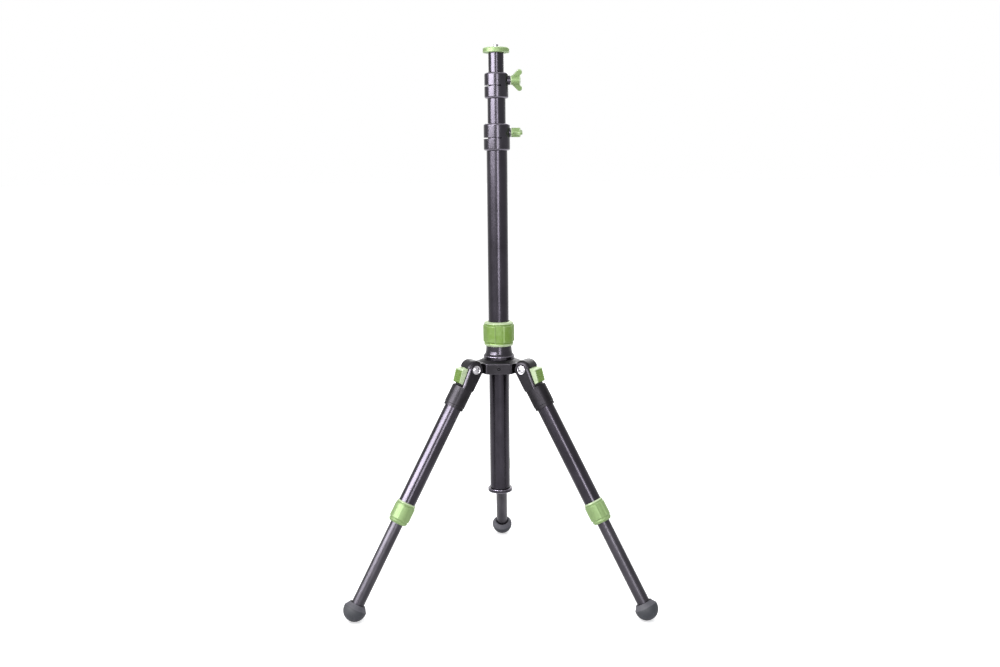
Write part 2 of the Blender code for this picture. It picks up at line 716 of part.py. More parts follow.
def shoulder_mesh():
    """Forked casting: knuckle, tab seat and collar."""
    low = -SHOULDER_COLLAR_TOP - SHOULDER_CHAMFER * 2
    crown = arc((0, 0), KNUCKLE_R, 180, 0, 10)
    outline = [(-KNUCKLE_R, low), *crown, (SEAT_LOW_X, SEAT_LOW_Z), (SEAT_LOW_X, low)]
    body = sideways(outline, CHEEK_HALF)
    face = CHEEK_HALF - 1e-5

    def outer_rim(middle, along):
        on_cheek = abs(middle.y) > face
        return on_cheek and middle.z > low + 1e-5 and middle.x > -KNUCKLE_R + 1e-5

    bevelled(body, CHEEK_BEVEL, outer_rim)
    wide = CHEEK_HALF * 1.5
    envelope = turned([(0, wide), (wide, wide), (wide, SEAT_LOW_Z + 0.0040),
                       (SHOULDER_COLLAR_R, low + 0.0004), (0, low + 0.0004)], 24)
    return combined(
        body, ("UNION", hump_shape()), ("INTERSECT", envelope), ("UNION", shoulder_collar()),
        ("DIFFERENCE", fork_slot()),
        ("DIFFERENCE", along_y(rod(PIVOT_BARREL_R + GAP, -wide, wide))),
        ("DIFFERENCE", along_y(rod(PIVOT_HEAD_R + GAP, CHEEK_HALF - PIVOT_SUNK, wide, 16))),
        ("DIFFERENCE", along_y(rod(PIVOT_HEAD_R + GAP, -wide, -CHEEK_HALF + PIVOT_SUNK, 16))),
        ("DIFFERENCE", pawl_window()), ("DIFFERENCE", stem_hole()), ("DIFFERENCE", spring_pocket()),
    )


def hump_shape():
    """Rounded bridge over the knuckle's outer side, from above the pivot down to the tab."""
    low = TAB_TOP_Z + GAP
    start = math.degrees(math.asin(low / HUMP_R))
    crown = arc((0, 0), HUMP_R, start, HUMP_BACK, 7)
    back = arc((0, 0), KNUCKLE_R / 2, HUMP_BACK, HUMP_BACK, 1)[:1]
    hump = sideways([(KNUCKLE_R / 2, low), *crown, *back], CHEEK_HALF)
    face = CHEEK_HALF - 1e-5
    bevelled(hump, HUMP_BEVEL, lambda middle, along: abs(middle.y) > face and middle.xz.length > KNUCKLE_R, 2)
    return hump


def shoulder_collar():
    """Collar with a groove near its lower end and a blind bore for the upper tube."""
    top = -SHOULDER_COLLAR_TOP
    low = top - SHOULDER_COLLAR_LENGTH
    radius = SHOULDER_COLLAR_R
    edge = SHOULDER_CHAMFER
    groove = low + SHOULDER_GROOVE_RISE
    deep = SHOULDER_GROOVE
    bore = LEG_UPPER_R + GAP
    return turned([
        (0, top), (radius - edge, top), (radius, top - edge), (radius, groove + deep), (radius - deep, groove),
        (radius - deep, low), (bore, low), (bore, top - SHOULDER_CAP), (0, top - SHOULDER_CAP),
    ], 24)


def fork_slot():
    """Room for the tongue from the leg as it stands to the leg folded in."""
    radius = TONGUE_R + FORK_RADIAL_GAP
    upper = 90 - math.degrees(LEG_SPREAD)
    outline = arc((0, 0), radius, -90, upper, 9)
    away = 3 * KNUCKLE_R
    start = outline[-1]
    outline.append((start[0] - away * math.cos(LEG_SPREAD), start[1] + away * math.sin(LEG_SPREAD)))
    outline.append((-away, -radius))
    return sideways(outline, TONGUE_WIDTH / 2 + GAP)


def pawl_window():
    """Opening that the tab's pawl reaches the tongue through."""
    return block((TONGUE_R / 2, -PAWL_HALF - GAP, PAWL_LOW_Z - GAP),
                 (KNUCKLE_R * 1.5, PAWL_HALF + GAP, PAWL_TOP_Z + GAP))


def stem_hole():
    """Guide hole for the tab's stem."""
    hole = along_x(rod(STEM_R + GAP, 2 * POCKET_FLOOR_X, KNUCKLE_R * 1.5))
    return moved(hole, Matrix.Translation((0, 0, STEM_Z)))


def spring_pocket():
    """Pocket for the tab's spring, open towards the column."""
    pocket = along_x(rod(POCKET_R, -KNUCKLE_R * 1.5, POCKET_FLOOR_X, 16))
    return moved(pocket, Matrix.Translation((0, 0, STEM_Z)))


def pivot_head(grip_end):
    """Outline of a low domed pivot head whose underside is at grip_end."""
    top = grip_end + PIVOT_HEAD_HEIGHT
    return [(PIVOT_HEAD_R, grip_end), (PIVOT_HEAD_R, top - 0.0007), (PIVOT_HEAD_R - 0.0010, top), (0, top)]


def pivot_nut_mesh():
    """Barrel nut through the fork, head at -Y, bored for the screw."""
    seat = CHEEK_HALF - PIVOT_SUNK + GAP
    barrel_end = -(CHEEK_HALF - PIVOT_SUNK - GAP)
    bore = PIVOT_THREAD_R + GAP
    floor = seat - 0.0010
    body = turned([(bore, barrel_end), (PIVOT_BARREL_R, barrel_end), (PIVOT_BARREL_R, seat), *pivot_head(seat),
                   (0, floor), (bore, floor)], 16)
    top = seat + PIVOT_HEAD_HEIGHT
    recess = cross(PIVOT_BARREL_R, top - CROSS_DEPTH, top + CROSS_DEPTH)
    return combined(along_y(moved(body, Matrix.Rotation(math.pi, 4, "X"))),
                    ("DIFFERENCE", along_y(moved(recess, Matrix.Rotation(math.pi, 4, "X")))))


def pivot_screw_mesh():
    """Screw with its head at +Y and its thread in the barrel nut."""
    seat = CHEEK_HALF - PIVOT_SUNK + GAP
    body = turned([(0, 0), (PIVOT_THREAD_R, 0), (PIVOT_THREAD_R, seat), *pivot_head(seat)], 16)
    top = seat + PIVOT_HEAD_HEIGHT
    recess = cross(PIVOT_BARREL_R, top - CROSS_DEPTH, top + CROSS_DEPTH)
    return combined(along_y(body), ("DIFFERENCE", along_y(recess)))


def tab_outline():
    """Tab in X and Z: its inner face on the seat, its outer face ridged."""
    top = (seat_x(TAB_TOP_Z) + GAP, TAB_TOP_Z)
    tail = (seat_x(TAB_TAIL[1]) + GAP, TAB_TAIL[1])
    points = [tail, top]
    peak = Vector(TAB_PEAK)
    run = Vector(TAB_TAIL) - peak
    inward = Vector((run.y, -run.x)).normalized() * TAB_RIDGE_DEPTH
    for ridge in range(TAB_RIDGES):
        for share, deep in ((0.0, 0), (0.55, 0), (0.75, 1)):
            point = peak + run * ((ridge + share) / TAB_RIDGES) + inward * deep
            points.append((point.x, point.y))
    points.append(TAB_TAIL)
    return points


def tab_mesh():
    """Ridged tab with a pawl at its upper end and a guide stem."""
    body = sideways(tab_outline(), TAB_HALF)
    side = TAB_HALF - 1e-5
    bevelled(body, TAB_EDGE, lambda middle, along: abs(middle.y) > side and middle.x > KNUCKLE_R * 1.05)
    inside = seat_x(PAWL_LOW_Z) + TAB_EDGE
    pawl = block((PAWL_TIP_X, -PAWL_HALF, PAWL_LOW_Z), (inside, PAWL_HALF, PAWL_TOP_Z))
    stem = along_x(rod(STEM_R, STEM_END_X, seat_x(STEM_Z) + 2 * GAP + TAB_EDGE))
    hole = along_x(rod(TAB_SCREW_R + GAP, 2 * STEM_END_X, seat_x(STEM_Z), 12))
    lift = Matrix.Translation((0, 0, STEM_Z))
    return combined(body, ("UNION", pawl), ("UNION", moved(stem, lift)), ("DIFFERENCE", moved(hole, lift)))


def tab_screw_shape():
    """Pan head screw that holds the spring on the tab's stem."""
    head_top = POCKET_FLOOR_X - GAP - SPRING_LENGTH - GAP
    head_end = head_top - TAB_SCREW_HEAD
    tip = seat_x(STEM_Z) - 2 * TAB_SCREW_R
    body = turned([(0, head_end), (TAB_SCREW_HEAD_R * 0.7, head_end), (TAB_SCREW_HEAD_R, head_top - 0.0004),
                   (TAB_SCREW_HEAD_R, head_top), (TAB_SCREW_R, head_top), (TAB_SCREW_R, tip), (0, tip)], 10)
    return moved(along_x(body), Matrix.Translation((0, 0, STEM_Z)))


def spring_points():
    """Points along the tab spring's wire."""
    wire_centre_run = SPRING_LENGTH - 2 * SPRING_WIRE_R
    total = SPRING_TURNS * SPRING_CURL_POINTS
    points = []
    for index in range(total + 1):
        angle = math.tau * index / SPRING_CURL_POINTS
        x = POCKET_FLOOR_X - GAP - SPRING_WIRE_R - wire_centre_run * index / total
        points.append(Vector((x, SPRING_R * math.cos(angle), STEM_Z + SPRING_R * math.sin(angle))))
    return points


def spring_curve():
    """The tab spring as one wire; prints the least gap between its curls."""
    points = spring_points()
    apart = min((points[i] - points[j]).length for i in range(len(points))
                for j in range(i + SPRING_CURL_POINTS - 1, len(points)))
    print(f"tab spring: least gap between curls {(apart - 2 * SPRING_WIRE_R) * 1000:.2f} mm")
    curve = bpy.data.curves.new("tab_spring", "CURVE")
    curve.dimensions = "3D"
    curve.bevel_depth = SPRING_WIRE_R
    curve.bevel_resolution = 1
    curve.use_fill_caps = True
    spline = curve.splines.new("POLY")
    spline.points.add(len(points) - 1)
    for target, point in zip(spline.points, points):
        target.co = (*point, 1)
    return curve


def leg_lock_shape():
    """Twist ring of a leg: padded grip between a top ring and a lower lip."""
    top = -LEG_LOCK_TOP
    low = top - LEG_LOCK_LENGTH
    grip = LEG_LOCK_R
    upper = LEG_UPPER_R + GAP
    lower = LEG_LOWER_R + 2 * GAP
    cone_top = -(LEG_LOCK_TOP + LEG_LOCK_OVERLAP + GAP)
    shape = turned([
        (grip - 0.0016, top), (grip - 0.0006, top - 0.0014),
        (grip - 0.0011, top - 0.0035), (grip, top - 0.0044), (grip, low + 0.0058), (grip - 0.0013, low + 0.0042),
        (grip - 0.0008, low + 0.0026), (grip - 0.0024, low), (lower, low), (lower, low + LEG_LOCK_LIP),
        (lower + COLLET_FLARE, low + LEG_LOCK_LIP), (upper, cone_top), (upper, top),
    ], PADS * len(PAD_STEPS))
    return padded(shape, grip, LEG_PAD_DEPTH)


def leg_collet_mesh():
    """Split collet: a spigot inside the upper tube and a tapered end in the lock."""
    tube_end = -(LEG_LOCK_TOP + LEG_LOCK_OVERLAP)
    low = -(LEG_LOCK_TOP + LEG_LOCK_LENGTH) + LEG_LOCK_LIP + GAP
    inside = LEG_LOWER_R + GAP
    spigot_r = LEG_UPPER_R - LEG_UPPER_WALL - GAP
    collar_top = tube_end - GAP
    flare_r = LEG_UPPER_R - GAP
    low_r = LEG_LOWER_R + 2 * GAP + COLLET_FLARE - GAP
    body = turned([
        (spigot_r, tube_end + LEG_COLLET_SPIGOT), (spigot_r, collar_top), (flare_r, collar_top),
        (low_r, low), (inside, low), (inside, tube_end + LEG_COLLET_SPIGOT),
    ], 18)
    slit = block((0, -COLLET_SLIT / 2, low - COLLET_SLIT),
                 (2 * LEG_UPPER_R, COLLET_SLIT / 2, tube_end + LEG_COLLET_SPIGOT / 2))
    return combined(body, ("DIFFERENCE", slit))


def leg_bush_shape():
    """Cap sleeve on the lower tube's top end; it stops on the collet."""
    low = -(LEG_LOCK_TOP + LEG_LOCK_OVERLAP) + LEG_COLLET_SPIGOT + GAP
    top = low + LEG_BUSH_LENGTH
    outside = LEG_UPPER_R - LEG_UPPER_WALL - BUSH_GAP
    sleeve = LEG_LOWER_R + GAP
    lip_r = LEG_LOWER_R - LEG_LOWER_WALL
    return turned([
        (outside, top), (outside, low), (sleeve, low), (sleeve, top - LEG_BUSH_LIP),
        (lip_r, top - LEG_BUSH_LIP), (lip_r, top),
    ])


def leg_lower_span():
    """Bottom and top of the lower tube."""
    bush_low = -(LEG_LOCK_TOP + LEG_LOCK_OVERLAP) + LEG_COLLET_SPIGOT + GAP
    top = bush_low + LEG_BUSH_LENGTH - LEG_BUSH_LIP - GAP
    low = -LEG_LENGTH + FOOT_RIM_RISE - FOOT_SOCKET + GAP
    return low, top


def foot_shape():
    """Rubber ball foot with a flared collar; a ring of its corners is its lowest part."""
    rim = -LEG_LENGTH + FOOT_RIM_RISE
    floor = rim - FOOT_SOCKET
    socket = LEG_LOWER_R + GAP
    step = math.degrees(LEG_SPREAD) / 2
    ball = arc((0, -LEG_LENGTH), FOOT_R, -90, -90 + FOOT_ARC_STEPS * step, FOOT_ARC_STEPS)
    ball[0] = (0, -LEG_LENGTH - FOOT_R)
    return turned([*ball, (FOOT_RIM_R, rim - 0.0010), (FOOT_RIM_R - 0.0006, rim), (socket, rim), (socket, floor),
                   (0, floor)])


def build_column(axis):
    """Everything on the column's axis, from the hub to the head."""
    place("hub_spider", hub_mesh(), "black_casting", axis)
    place("column_lock_base", lock_base_shape(), "black_casting", axis)
    place("hub_bush", hub_bush_shape(), "nylon", axis)
    place("hub_set_screw", set_screw_shape(), "steel", axis, (0, 0, PIVOT_Z))
    place("column_lock_ring", column_lock_shape(), "green_anodised", axis)
    place("column_collet", column_collet_mesh(), "nylon", axis)
    place("column_outer_tube", tube(OUTER_R, OUTER_WALL, OUTER_LOW_Z, OUTER_TOP_Z), "black_anodised", axis)
    place("column_end_cap", end_cap_shape(), "black_casting", axis)
    place("mid_tube", tube(MID_R, MID_WALL, MID_LOW_Z, MID_TOP_Z), "black_anodised", axis)
    place("mid_glide_bush", glide_bush_shape(OUTER_R - OUTER_WALL, MID_R, MID_WALL, MID_LOW_Z, MID_BUSH_LENGTH),
          "nylon", axis)
    place("inner_tube", tube(INNER_R, INNER_WALL, INNER_LOW_Z, INNER_TOP_Z), "black_anodised", axis)
    place("inner_glide_bush", glide_bush_shape(MID_R - MID_WALL, INNER_R, INNER_WALL, INNER_LOW_Z,
                                               INNER_BUSH_LENGTH), "nylon", axis)
    place("head_plate", head_plate_mesh(), "green_anodised", axis)
    place("mount_stud", stud_mesh(), "steel", axis)
    place("head_set_screw", grub_mesh(), "steel", axis, (0, 0, HEAD_Z + GRUB_RISE))


def build_clamps(axis):
    """The two clamp collars with their pads and wing screws."""
    clamps = (
        ("lower", LOWER_COLLAR_Z, LOWER_COLLAR_R, LOWER_COLLAR_HEIGHT, OUTER_R, MID_R),
        ("upper", UPPER_COLLAR_Z, UPPER_COLLAR_R, UPPER_COLLAR_HEIGHT, MID_R, INNER_R),
    )
    for name, low, collar_r, height, tube_r, next_r in clamps:
        collar = clamp_collar_mesh(collar_r, height, tube_r, next_r)
        place(f"{name}_clamp_collar", collar, "black_casting", axis, (0, 0, low))
        place(f"{name}_clamp_pad", pad_shape(next_r), "nylon", axis, (0, 0, low + CLAMP_RISE))
        screw = place(f"{name}_wing_screw", wing_screw_mesh(next_r), "green_anodised", axis,
                      (BOSS_END, 0, low + CLAMP_RISE))
        screw.rotation_mode = "ZYX"
        screw.rotation_euler = (0, math.radians(90), math.radians(WING_TURNS[name]))


def build_legs():
    """Three legs that share their meshes."""
    upper_top = -SHOULDER_COLLAR_TOP - SHOULDER_CAP - GAP
    upper_low = -(LEG_LOCK_TOP + LEG_LOCK_OVERLAP)
    lower_low, lower_top = leg_lower_span()
    pieces = {
        "shoulder": (shoulder_mesh(), "black_casting"),
        "pivot_nut": (pivot_nut_mesh(), "steel"),
        "pivot_screw": (pivot_screw_mesh(), "steel"),
        "angle_tab": (tab_mesh(), "green_anodised"),
        "tab_screw": (as_mesh(tab_screw_shape(), "tab_screw"), "steel"),
        "tab_spring": (spring_curve(), "steel"),
        "upper_tube": (as_mesh(tube(LEG_UPPER_R, LEG_UPPER_WALL, upper_low, upper_top), "upper_tube"),
                       "black_anodised"),
        "lock_ring": (as_mesh(leg_lock_shape(), "lock_ring"), "green_anodised"),
        "collet": (leg_collet_mesh(), "nylon"),
        "lower_tube": (as_mesh(tube(LEG_LOWER_R, LEG_LOWER_WALL, lower_low, lower_top), "lower_tube"),
                       "black_anodised"),
        "guide_bush": (as_mesh(leg_bush_shape(), "guide_bush"), "nylon"),
        "foot": (as_mesh(foot_shape(), "foot"), "rubber"),
    }
    for number, azimuth in enumerate(LEG_AZIMUTHS, start=1):
        turn = math.radians(azimuth)
        pivot = (PIVOT_R * math.cos(turn), COLUMN_Y + PIVOT_R * math.sin(turn), PIVOT_Z)
        leg = frame(f"leg_{number}_frame", pivot, (0, -LEG_SPREAD, turn))
        for name, (shape, finish) in pieces.items():
            place(f"leg_{number}_{name}", shape, finish, leg)


clear_scene()
MATERIALS = {name: finish_material(name) for name in FINISHES}
column_axis = frame("column_axis", (0, COLUMN_Y, 0))
build_column(column_axis)
build_clamps(column_axis)
build_legs()
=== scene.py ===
"""Dresses the elevating tripod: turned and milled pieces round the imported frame, their
finishes, and a plain pale stage with the camera. Lengths are in metres."""

import json
import math

import bmesh
import bpy
from bpy.props import FloatProperty, FloatVectorProperty, IntProperty, PointerProperty
from mathutils import Matrix, Vector


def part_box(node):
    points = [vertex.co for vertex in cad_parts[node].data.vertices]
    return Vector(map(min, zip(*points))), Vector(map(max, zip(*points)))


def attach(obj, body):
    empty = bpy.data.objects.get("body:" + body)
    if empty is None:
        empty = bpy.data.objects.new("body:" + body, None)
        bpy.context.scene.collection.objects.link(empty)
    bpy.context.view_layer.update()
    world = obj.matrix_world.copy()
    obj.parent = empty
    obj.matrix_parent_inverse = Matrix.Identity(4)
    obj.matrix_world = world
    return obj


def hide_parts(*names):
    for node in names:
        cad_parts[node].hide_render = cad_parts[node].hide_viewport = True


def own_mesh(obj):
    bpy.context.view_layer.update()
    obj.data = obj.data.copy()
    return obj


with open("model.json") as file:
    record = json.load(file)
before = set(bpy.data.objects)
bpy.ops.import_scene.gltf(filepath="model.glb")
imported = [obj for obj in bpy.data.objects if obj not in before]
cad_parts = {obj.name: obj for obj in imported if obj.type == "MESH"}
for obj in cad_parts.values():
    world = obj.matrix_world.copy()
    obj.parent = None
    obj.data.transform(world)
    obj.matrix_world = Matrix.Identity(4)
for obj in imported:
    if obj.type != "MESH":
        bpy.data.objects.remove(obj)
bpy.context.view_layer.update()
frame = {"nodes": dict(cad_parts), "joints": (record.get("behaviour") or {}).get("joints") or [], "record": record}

bl_info = {
    "name": "Elevating Tripod",
    "version": (1, 0, 0),
    "blender": (4, 5, 0),
    "location": "View3D > Sidebar > Tripod",
    "description": "Builds the visible pieces and finishes of an elevating tripod",
    "category": "Object",
}


def frame_joint(name):
    """A joint of the frame by its name."""
    return next(joint for joint in frame["joints"] if joint["name"] == name)


def node_low(name):
    """Lowest point of a frame node."""
    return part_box(name)[0][2]


def node_high(name):
    """Highest point of a frame node."""
    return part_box(name)[1][2]


# Stance, from the frame's joints
COLUMN_Y = frame_joint("column_turn")["pos_m"][1]
FIRST_PIVOT = frame_joint("leg_1_spread")
FOOT_RADIUS = 0.0140
LEG_AZIMUTHS = (210, 330, 90)
LEG_SPREAD = math.radians(-FIRST_PIVOT["range_deg"][0])
PIVOT_Z = FIRST_PIVOT["pos_m"][2]
PIVOT_R = math.hypot(FIRST_PIVOT["pos_m"][0], FIRST_PIVOT["pos_m"][1] - COLUMN_Y)
LEG_LENGTH = (PIVOT_Z - FOOT_RADIUS) / math.cos(LEG_SPREAD)


# ---- Settings ----


def size(name, description, default):
    """A length that a user may change."""
    return FloatProperty(name=name, description=description, default=default,
                         min=0.0001, soft_max=1.0, precision=5, unit="LENGTH")


def colour(name, description, default):
    """A linear colour that a user may change."""
    return FloatVectorProperty(name=name, description=description, default=default,
                               size=3, min=0.0, max=1.0, subtype="COLOR")


class ColumnSettings(bpy.types.PropertyGroup):
    """Sizes of the column, its clamps, its lock and its head."""

    outer_radius: size("Outer tube radius", "Outside radius of the largest column tube", 0.0125)
    outer_wall: size("Outer tube wall", "Wall of the largest column tube", 0.0010)
    mid_radius: size("Middle tube radius", "Outside radius of the middle column tube", 0.0108)
    mid_wall: size("Middle tube wall", "Wall of the middle column tube", 0.0009)
    inner_radius: size("Inner tube radius", "Outside radius of the smallest column tube", 0.0093)
    inner_wall: size("Inner tube wall", "Wall of the smallest column tube", 0.0010)
    cap_radius: size("End cap radius", "Radius of the cap under the column", 0.0153)
    lower_collar: size("Lower collar radius", "Radius of the lower clamp collar", 0.0158)
    upper_collar: size("Upper collar radius", "Radius of the upper clamp collar", 0.0143)
    kerf: size("Kerf", "Height of the cut that lets a clamp collar close", 0.0016)
    boss_radius: size("Boss radius", "Radius of the boss round a clamp's screw", 0.0056)
    lock_radius: size("Lock radius", "Largest radius of the column's twist lock", 0.0192)
    head_radius: size("Head radius", "Radius of the head plate", 0.0158)
    stud_radius: size("Stud radius", "Outside radius of the stud's thread", 0.003175)
    thread_pitch: size("Thread pitch", "Pitch of the stud's thread", 0.00127)


class LegSettings(bpy.types.PropertyGroup):
    """Sizes of a leg."""

    upper_radius: size("Upper tube radius", "Outside radius of a leg's upper tube", 0.0105)
    upper_wall: size("Upper tube wall", "Wall of a leg's upper tube", 0.0010)
    lower_radius: size("Lower tube radius", "Outside radius of a leg's lower tube", 0.00775)
    lower_wall: size("Lower tube wall", "Wall of a leg's lower tube", 0.0009)
    knuckle_radius: size("Knuckle radius", "Radius of the fork's cheeks round the pivot", 0.0094)
    cheek_half: size("Cheek", "Half the width of the fork", 0.0126)
    collar_radius: size("Collar radius", "Radius of the collar under the fork", 0.0129)
    tab_half: size("Tab", "Half the width of the angle tab", 0.0091)
    lock_radius: size("Lock radius", "Largest radius of a leg's twist lock", 0.01265)
    foot_radius: size("Foot radius", "Radius of the ball foot", FOOT_RADIUS)
    screw_radius: size("Pivot head radius", "Radius of a pivot's head", 0.0054)


class FinishSettings(bpy.types.PropertyGroup):
    """Colours of the finishes."""

    tube_black: colour("Tube black", "Anodised upper tubes and column", (0.030, 0.027, 0.034))
    # Lighter than the tube black: partly a painted reflection on the lower tubes.
    lower_black: colour("Lower tube black", "Anodised lower tubes of the legs", (0.043, 0.040, 0.047))
    collar_black: colour("Collar black", "Satin collars and caps", (0.034, 0.031, 0.038))
    cast_black: colour("Cast black", "Hub and forks", (0.0150, 0.0138, 0.0163))
    green: colour("Green", "Anodised column lock and angle tabs", (0.190, 0.325, 0.054))
    # Paler than the column lock's green: partly painted light on the head, knobs and leg locks.
    green_pale: colour("Pale green", "Anodised leg locks, knobs and head", (0.275, 0.410, 0.163))
    green_light: colour("Green edges", "Where the green is thin", (0.33, 0.47, 0.20))
    # Colour of the pale rounded edges: partly worn finish, partly painted highlight.
    green_worn_and_highlit: colour("Worn green edges", "Edges rubbed nearly to bare metal", (0.60, 0.72, 0.47))
    steel: colour("Steel", "Plated screws and stud", (0.44, 0.43, 0.45))
    nylon: colour("Nylon", "Bushes, collets and pads", (0.045, 0.045, 0.05))
    rubber: colour("Rubber", "Ball feet", (0.020, 0.023, 0.031))
    dust: colour("Dust", "Light dust on the rubber", (0.095, 0.092, 0.112))


class StageSettings(bpy.types.PropertyGroup):
    """Lamps and floor."""

    lamp_power: FloatProperty(name="Lamp power", description="Power of each broad lamp",
                              default=14.0, min=0.0, unit="POWER")
    floor_size: size("Floor size", "Side of the floor", 60.0)
    steps: IntProperty(name="Round steps", description="Steps round a turned piece",
                       default=72, min=24, max=192)


# ---- Shapes ----

GAP = 0.0003
EDGE_WIDTH = 0.0009
EDGE_ANGLE = math.radians(8)
BEVEL_ANGLE = math.radians(32)
SHARP_ANGLE = math.radians(34)


def rotation(degrees, axis):
    """A turn about one axis."""
    return Matrix.Rotation(math.radians(degrees), 4, axis)


def shift(x=0.0, y=0.0, z=0.0):
    """A shift along the axes."""
    return Matrix.Translation((x, y, z))


def arc(centre, radius, start, end, steps):
    """Points on an arc, with both ends; angles are in degrees."""
    points = []
    for index in range(steps + 1):
        angle = math.radians(start + (end - start) * index / steps)
        points.append((centre[0] + radius * math.cos(angle), centre[1] + radius * math.sin(angle)))
    return points


def softened(outline, radius, closed=True, steps=3):
    """The outline with each corner rounded by up to the radius."""
    count = len(outline)
    result = []
    for index, point in enumerate(outline):
        if not closed and index in (0, count - 1):
            result.append(point)
            continue
        here = Vector(point)
        before = Vector(outline[index - 1]) - here
        after = Vector(outline[(index + 1) % count]) - here
        cut = min(radius, before.length * 0.45, after.length * 0.45)
        start = here + before.normalized() * cut
        end = here + after.normalized() * cut
        for step in range(steps + 1):
            t = step / steps
            mixed = start * (1 - t) ** 2 + here * (2 * t * (1 - t)) + end * t * t
            result.append((mixed.x, mixed.y))
    return result


def turned(outline, steps=None, soft=0.0):
    """Spin an outline of (radius, height) points about Z; a closed one makes a ring."""
    ring = outline[0][0] > 0
    if soft:
        outline = softened(outline, soft, closed=ring)
    shape = bmesh.new()
    corners = [shape.verts.new((radius, 0, height)) for radius, height in outline]
    edges = [shape.edges.new(pair) for pair in zip(corners, corners[1:])]
    if ring:
        edges.append(shape.edges.new((corners[-1], corners[0])))
    bmesh.ops.spin(shape, geom=corners + edges, cent=(0, 0, 0), axis=(0, 0, 1), angle=math.tau,
                   steps=steps or bpy.context.scene.tripod_stage.steps, use_merge=True)
    bmesh.ops.remove_doubles(shape, verts=shape.verts, dist=1e-6)
    bmesh.ops.recalc_face_normals(shape, faces=shape.faces)
    return shape


def upright(outline, low, high):
    """Extrude an outline in X and Y from one height to another."""
    shape = bmesh.new()
    face = shape.faces.new([shape.verts.new((x, y, low)) for x, y in outline])
    extruded = bmesh.ops.extrude_face_region(shape, geom=[face])
    top = [item for item in extruded["geom"] if isinstance(item, bmesh.types.BMVert)]
    bmesh.ops.translate(shape, verts=top, vec=(0, 0, high - low))
    bmesh.ops.recalc_face_normals(shape, faces=shape.faces)
    return shape


def moved(shape, matrix):
    """Turn or shift a shape and hand it back."""
    bmesh.ops.transform(shape, matrix=matrix, verts=shape.verts)
    return shape


def sideways(outline, half):
    """Extrude an outline in X and Z to the same depth either side of the XZ plane."""
    return moved(upright(outline, -half, half), rotation(90, "X"))


def block(low, high):
    """A box between two corners."""
    outline = [(low[0], low[1]), (high[0], low[1]), (high[0], high[1]), (low[0], high[1])]
    return upright(outline, low[2], high[2])


def rod(radius, low, high, steps=32):
    """A plain round bar along Z."""
    return upright(arc((0, 0), radius, 0, 360, steps)[:-1], low, high)


def along_x(shape):
    """Lay a shape modelled along Z down along X."""
    return moved(shape, rotation(90, "Y"))


def along_y(shape):
    """Lay a shape modelled along Z down along Y."""
    return moved(shape, rotation(-90, "X"))


def bevelled(shape, width, chosen, segments=3):
    """Bevel the edges for which chosen(middle, direction) is true."""
    edges = []
    for edge in shape.edges:
        start, end = (vert.co for vert in edge.verts)
        if chosen((start + end) / 2, (end - start).normalized()):
            edges.append(edge)
    bmesh.ops.bevel(shape, geom=edges, offset=width, segments=segments, profile=0.5,
                    affect="EDGES", clamp_overlap=True, material=-1)
    return shape


def slab(outline, half, round_off, steps=6):
    """A plate across Y whose sides are rounded off; outline(inset) gives X and Z points."""
    stations = []
    for step in range(steps + 1):
        turn = math.radians(90) * step / steps
        stations.append((half - round_off * (1 - math.sin(turn)), round_off * (1 - math.cos(turn))))
    stations.reverse()
    stations += [(-offset, inset) for offset, inset in reversed(stations)]
    shape = bmesh.new()
    loops = [[shape.verts.new((x, offset, z)) for x, z in outline(inset)] for offset, inset in stations]
    for near, far in zip(loops, loops[1:]):
        for index, corner in enumerate(near):
            shape.faces.new((corner, near[index - 1], far[index - 1], far[index]))
    shape.faces.new(loops[0])
    shape.faces.new(reversed(loops[-1]))
    bmesh.ops.recalc_face_normals(shape, faces=shape.faces)
    return shape


def as_mesh(shape, name):
    """Turn a bmesh into a mesh and free it."""
    mesh = bpy.data.meshes.new(name)
    shape.to_mesh(mesh)
    shape.free()
    return mesh


def new_object(name, data):
    """An object in the scene for a mesh, curve, lamp or camera."""
    thing = bpy.data.objects.new(name, data)
    bpy.context.collection.objects.link(thing)
    return thing


def evaluated_mesh(thing):
    """The mesh of an object with its modifiers."""
    graph = bpy.context.evaluated_depsgraph_get()
    return bpy.data.meshes.new_from_object(thing.evaluated_get(graph))


def combined(base, *steps, edge=0.0):
    """Apply ("UNION", "DIFFERENCE" or "INTERSECT", shape) steps, then round sharp edges."""
    body = new_object("combined", as_mesh(base, "combined"))
    tools = []
    for operation, shape in steps:
        tool = new_object("tool", as_mesh(shape, "tool"))
        modifier = body.modifiers.new(operation, "BOOLEAN")
        modifier.operation = operation
        modifier.solver = "EXACT"
        modifier.object = tool
        tools.append(tool)
    if edge:
        modifier = body.modifiers.new("edges", "BEVEL")
        modifier.width = edge
        modifier.segments = 2
        modifier.limit_method = "ANGLE"
        modifier.angle_limit = BEVEL_ANGLE
    mesh = evaluated_mesh(body)
    for thing in [body, *tools]:
        bpy.data.objects.remove(thing, do_unlink=True)
    return mesh


def column_place(height=0.0):
    """From a shape on Z to its place on the column's axis."""
    return shift(0, COLUMN_Y, height)


def leg_place(number):
    """From a leg's own frame, pivot at its origin and +Z up the leg, to its place."""
    turn = math.radians(LEG_AZIMUTHS[number - 1])
    pivot = shift(PIVOT_R * math.cos(turn), COLUMN_Y + PIVOT_R * math.sin(turn), PIVOT_Z)
    return pivot @ Matrix.Rotation(turn, 4, "Z") @ Matrix.Rotation(-LEG_SPREAD, 4, "Y")


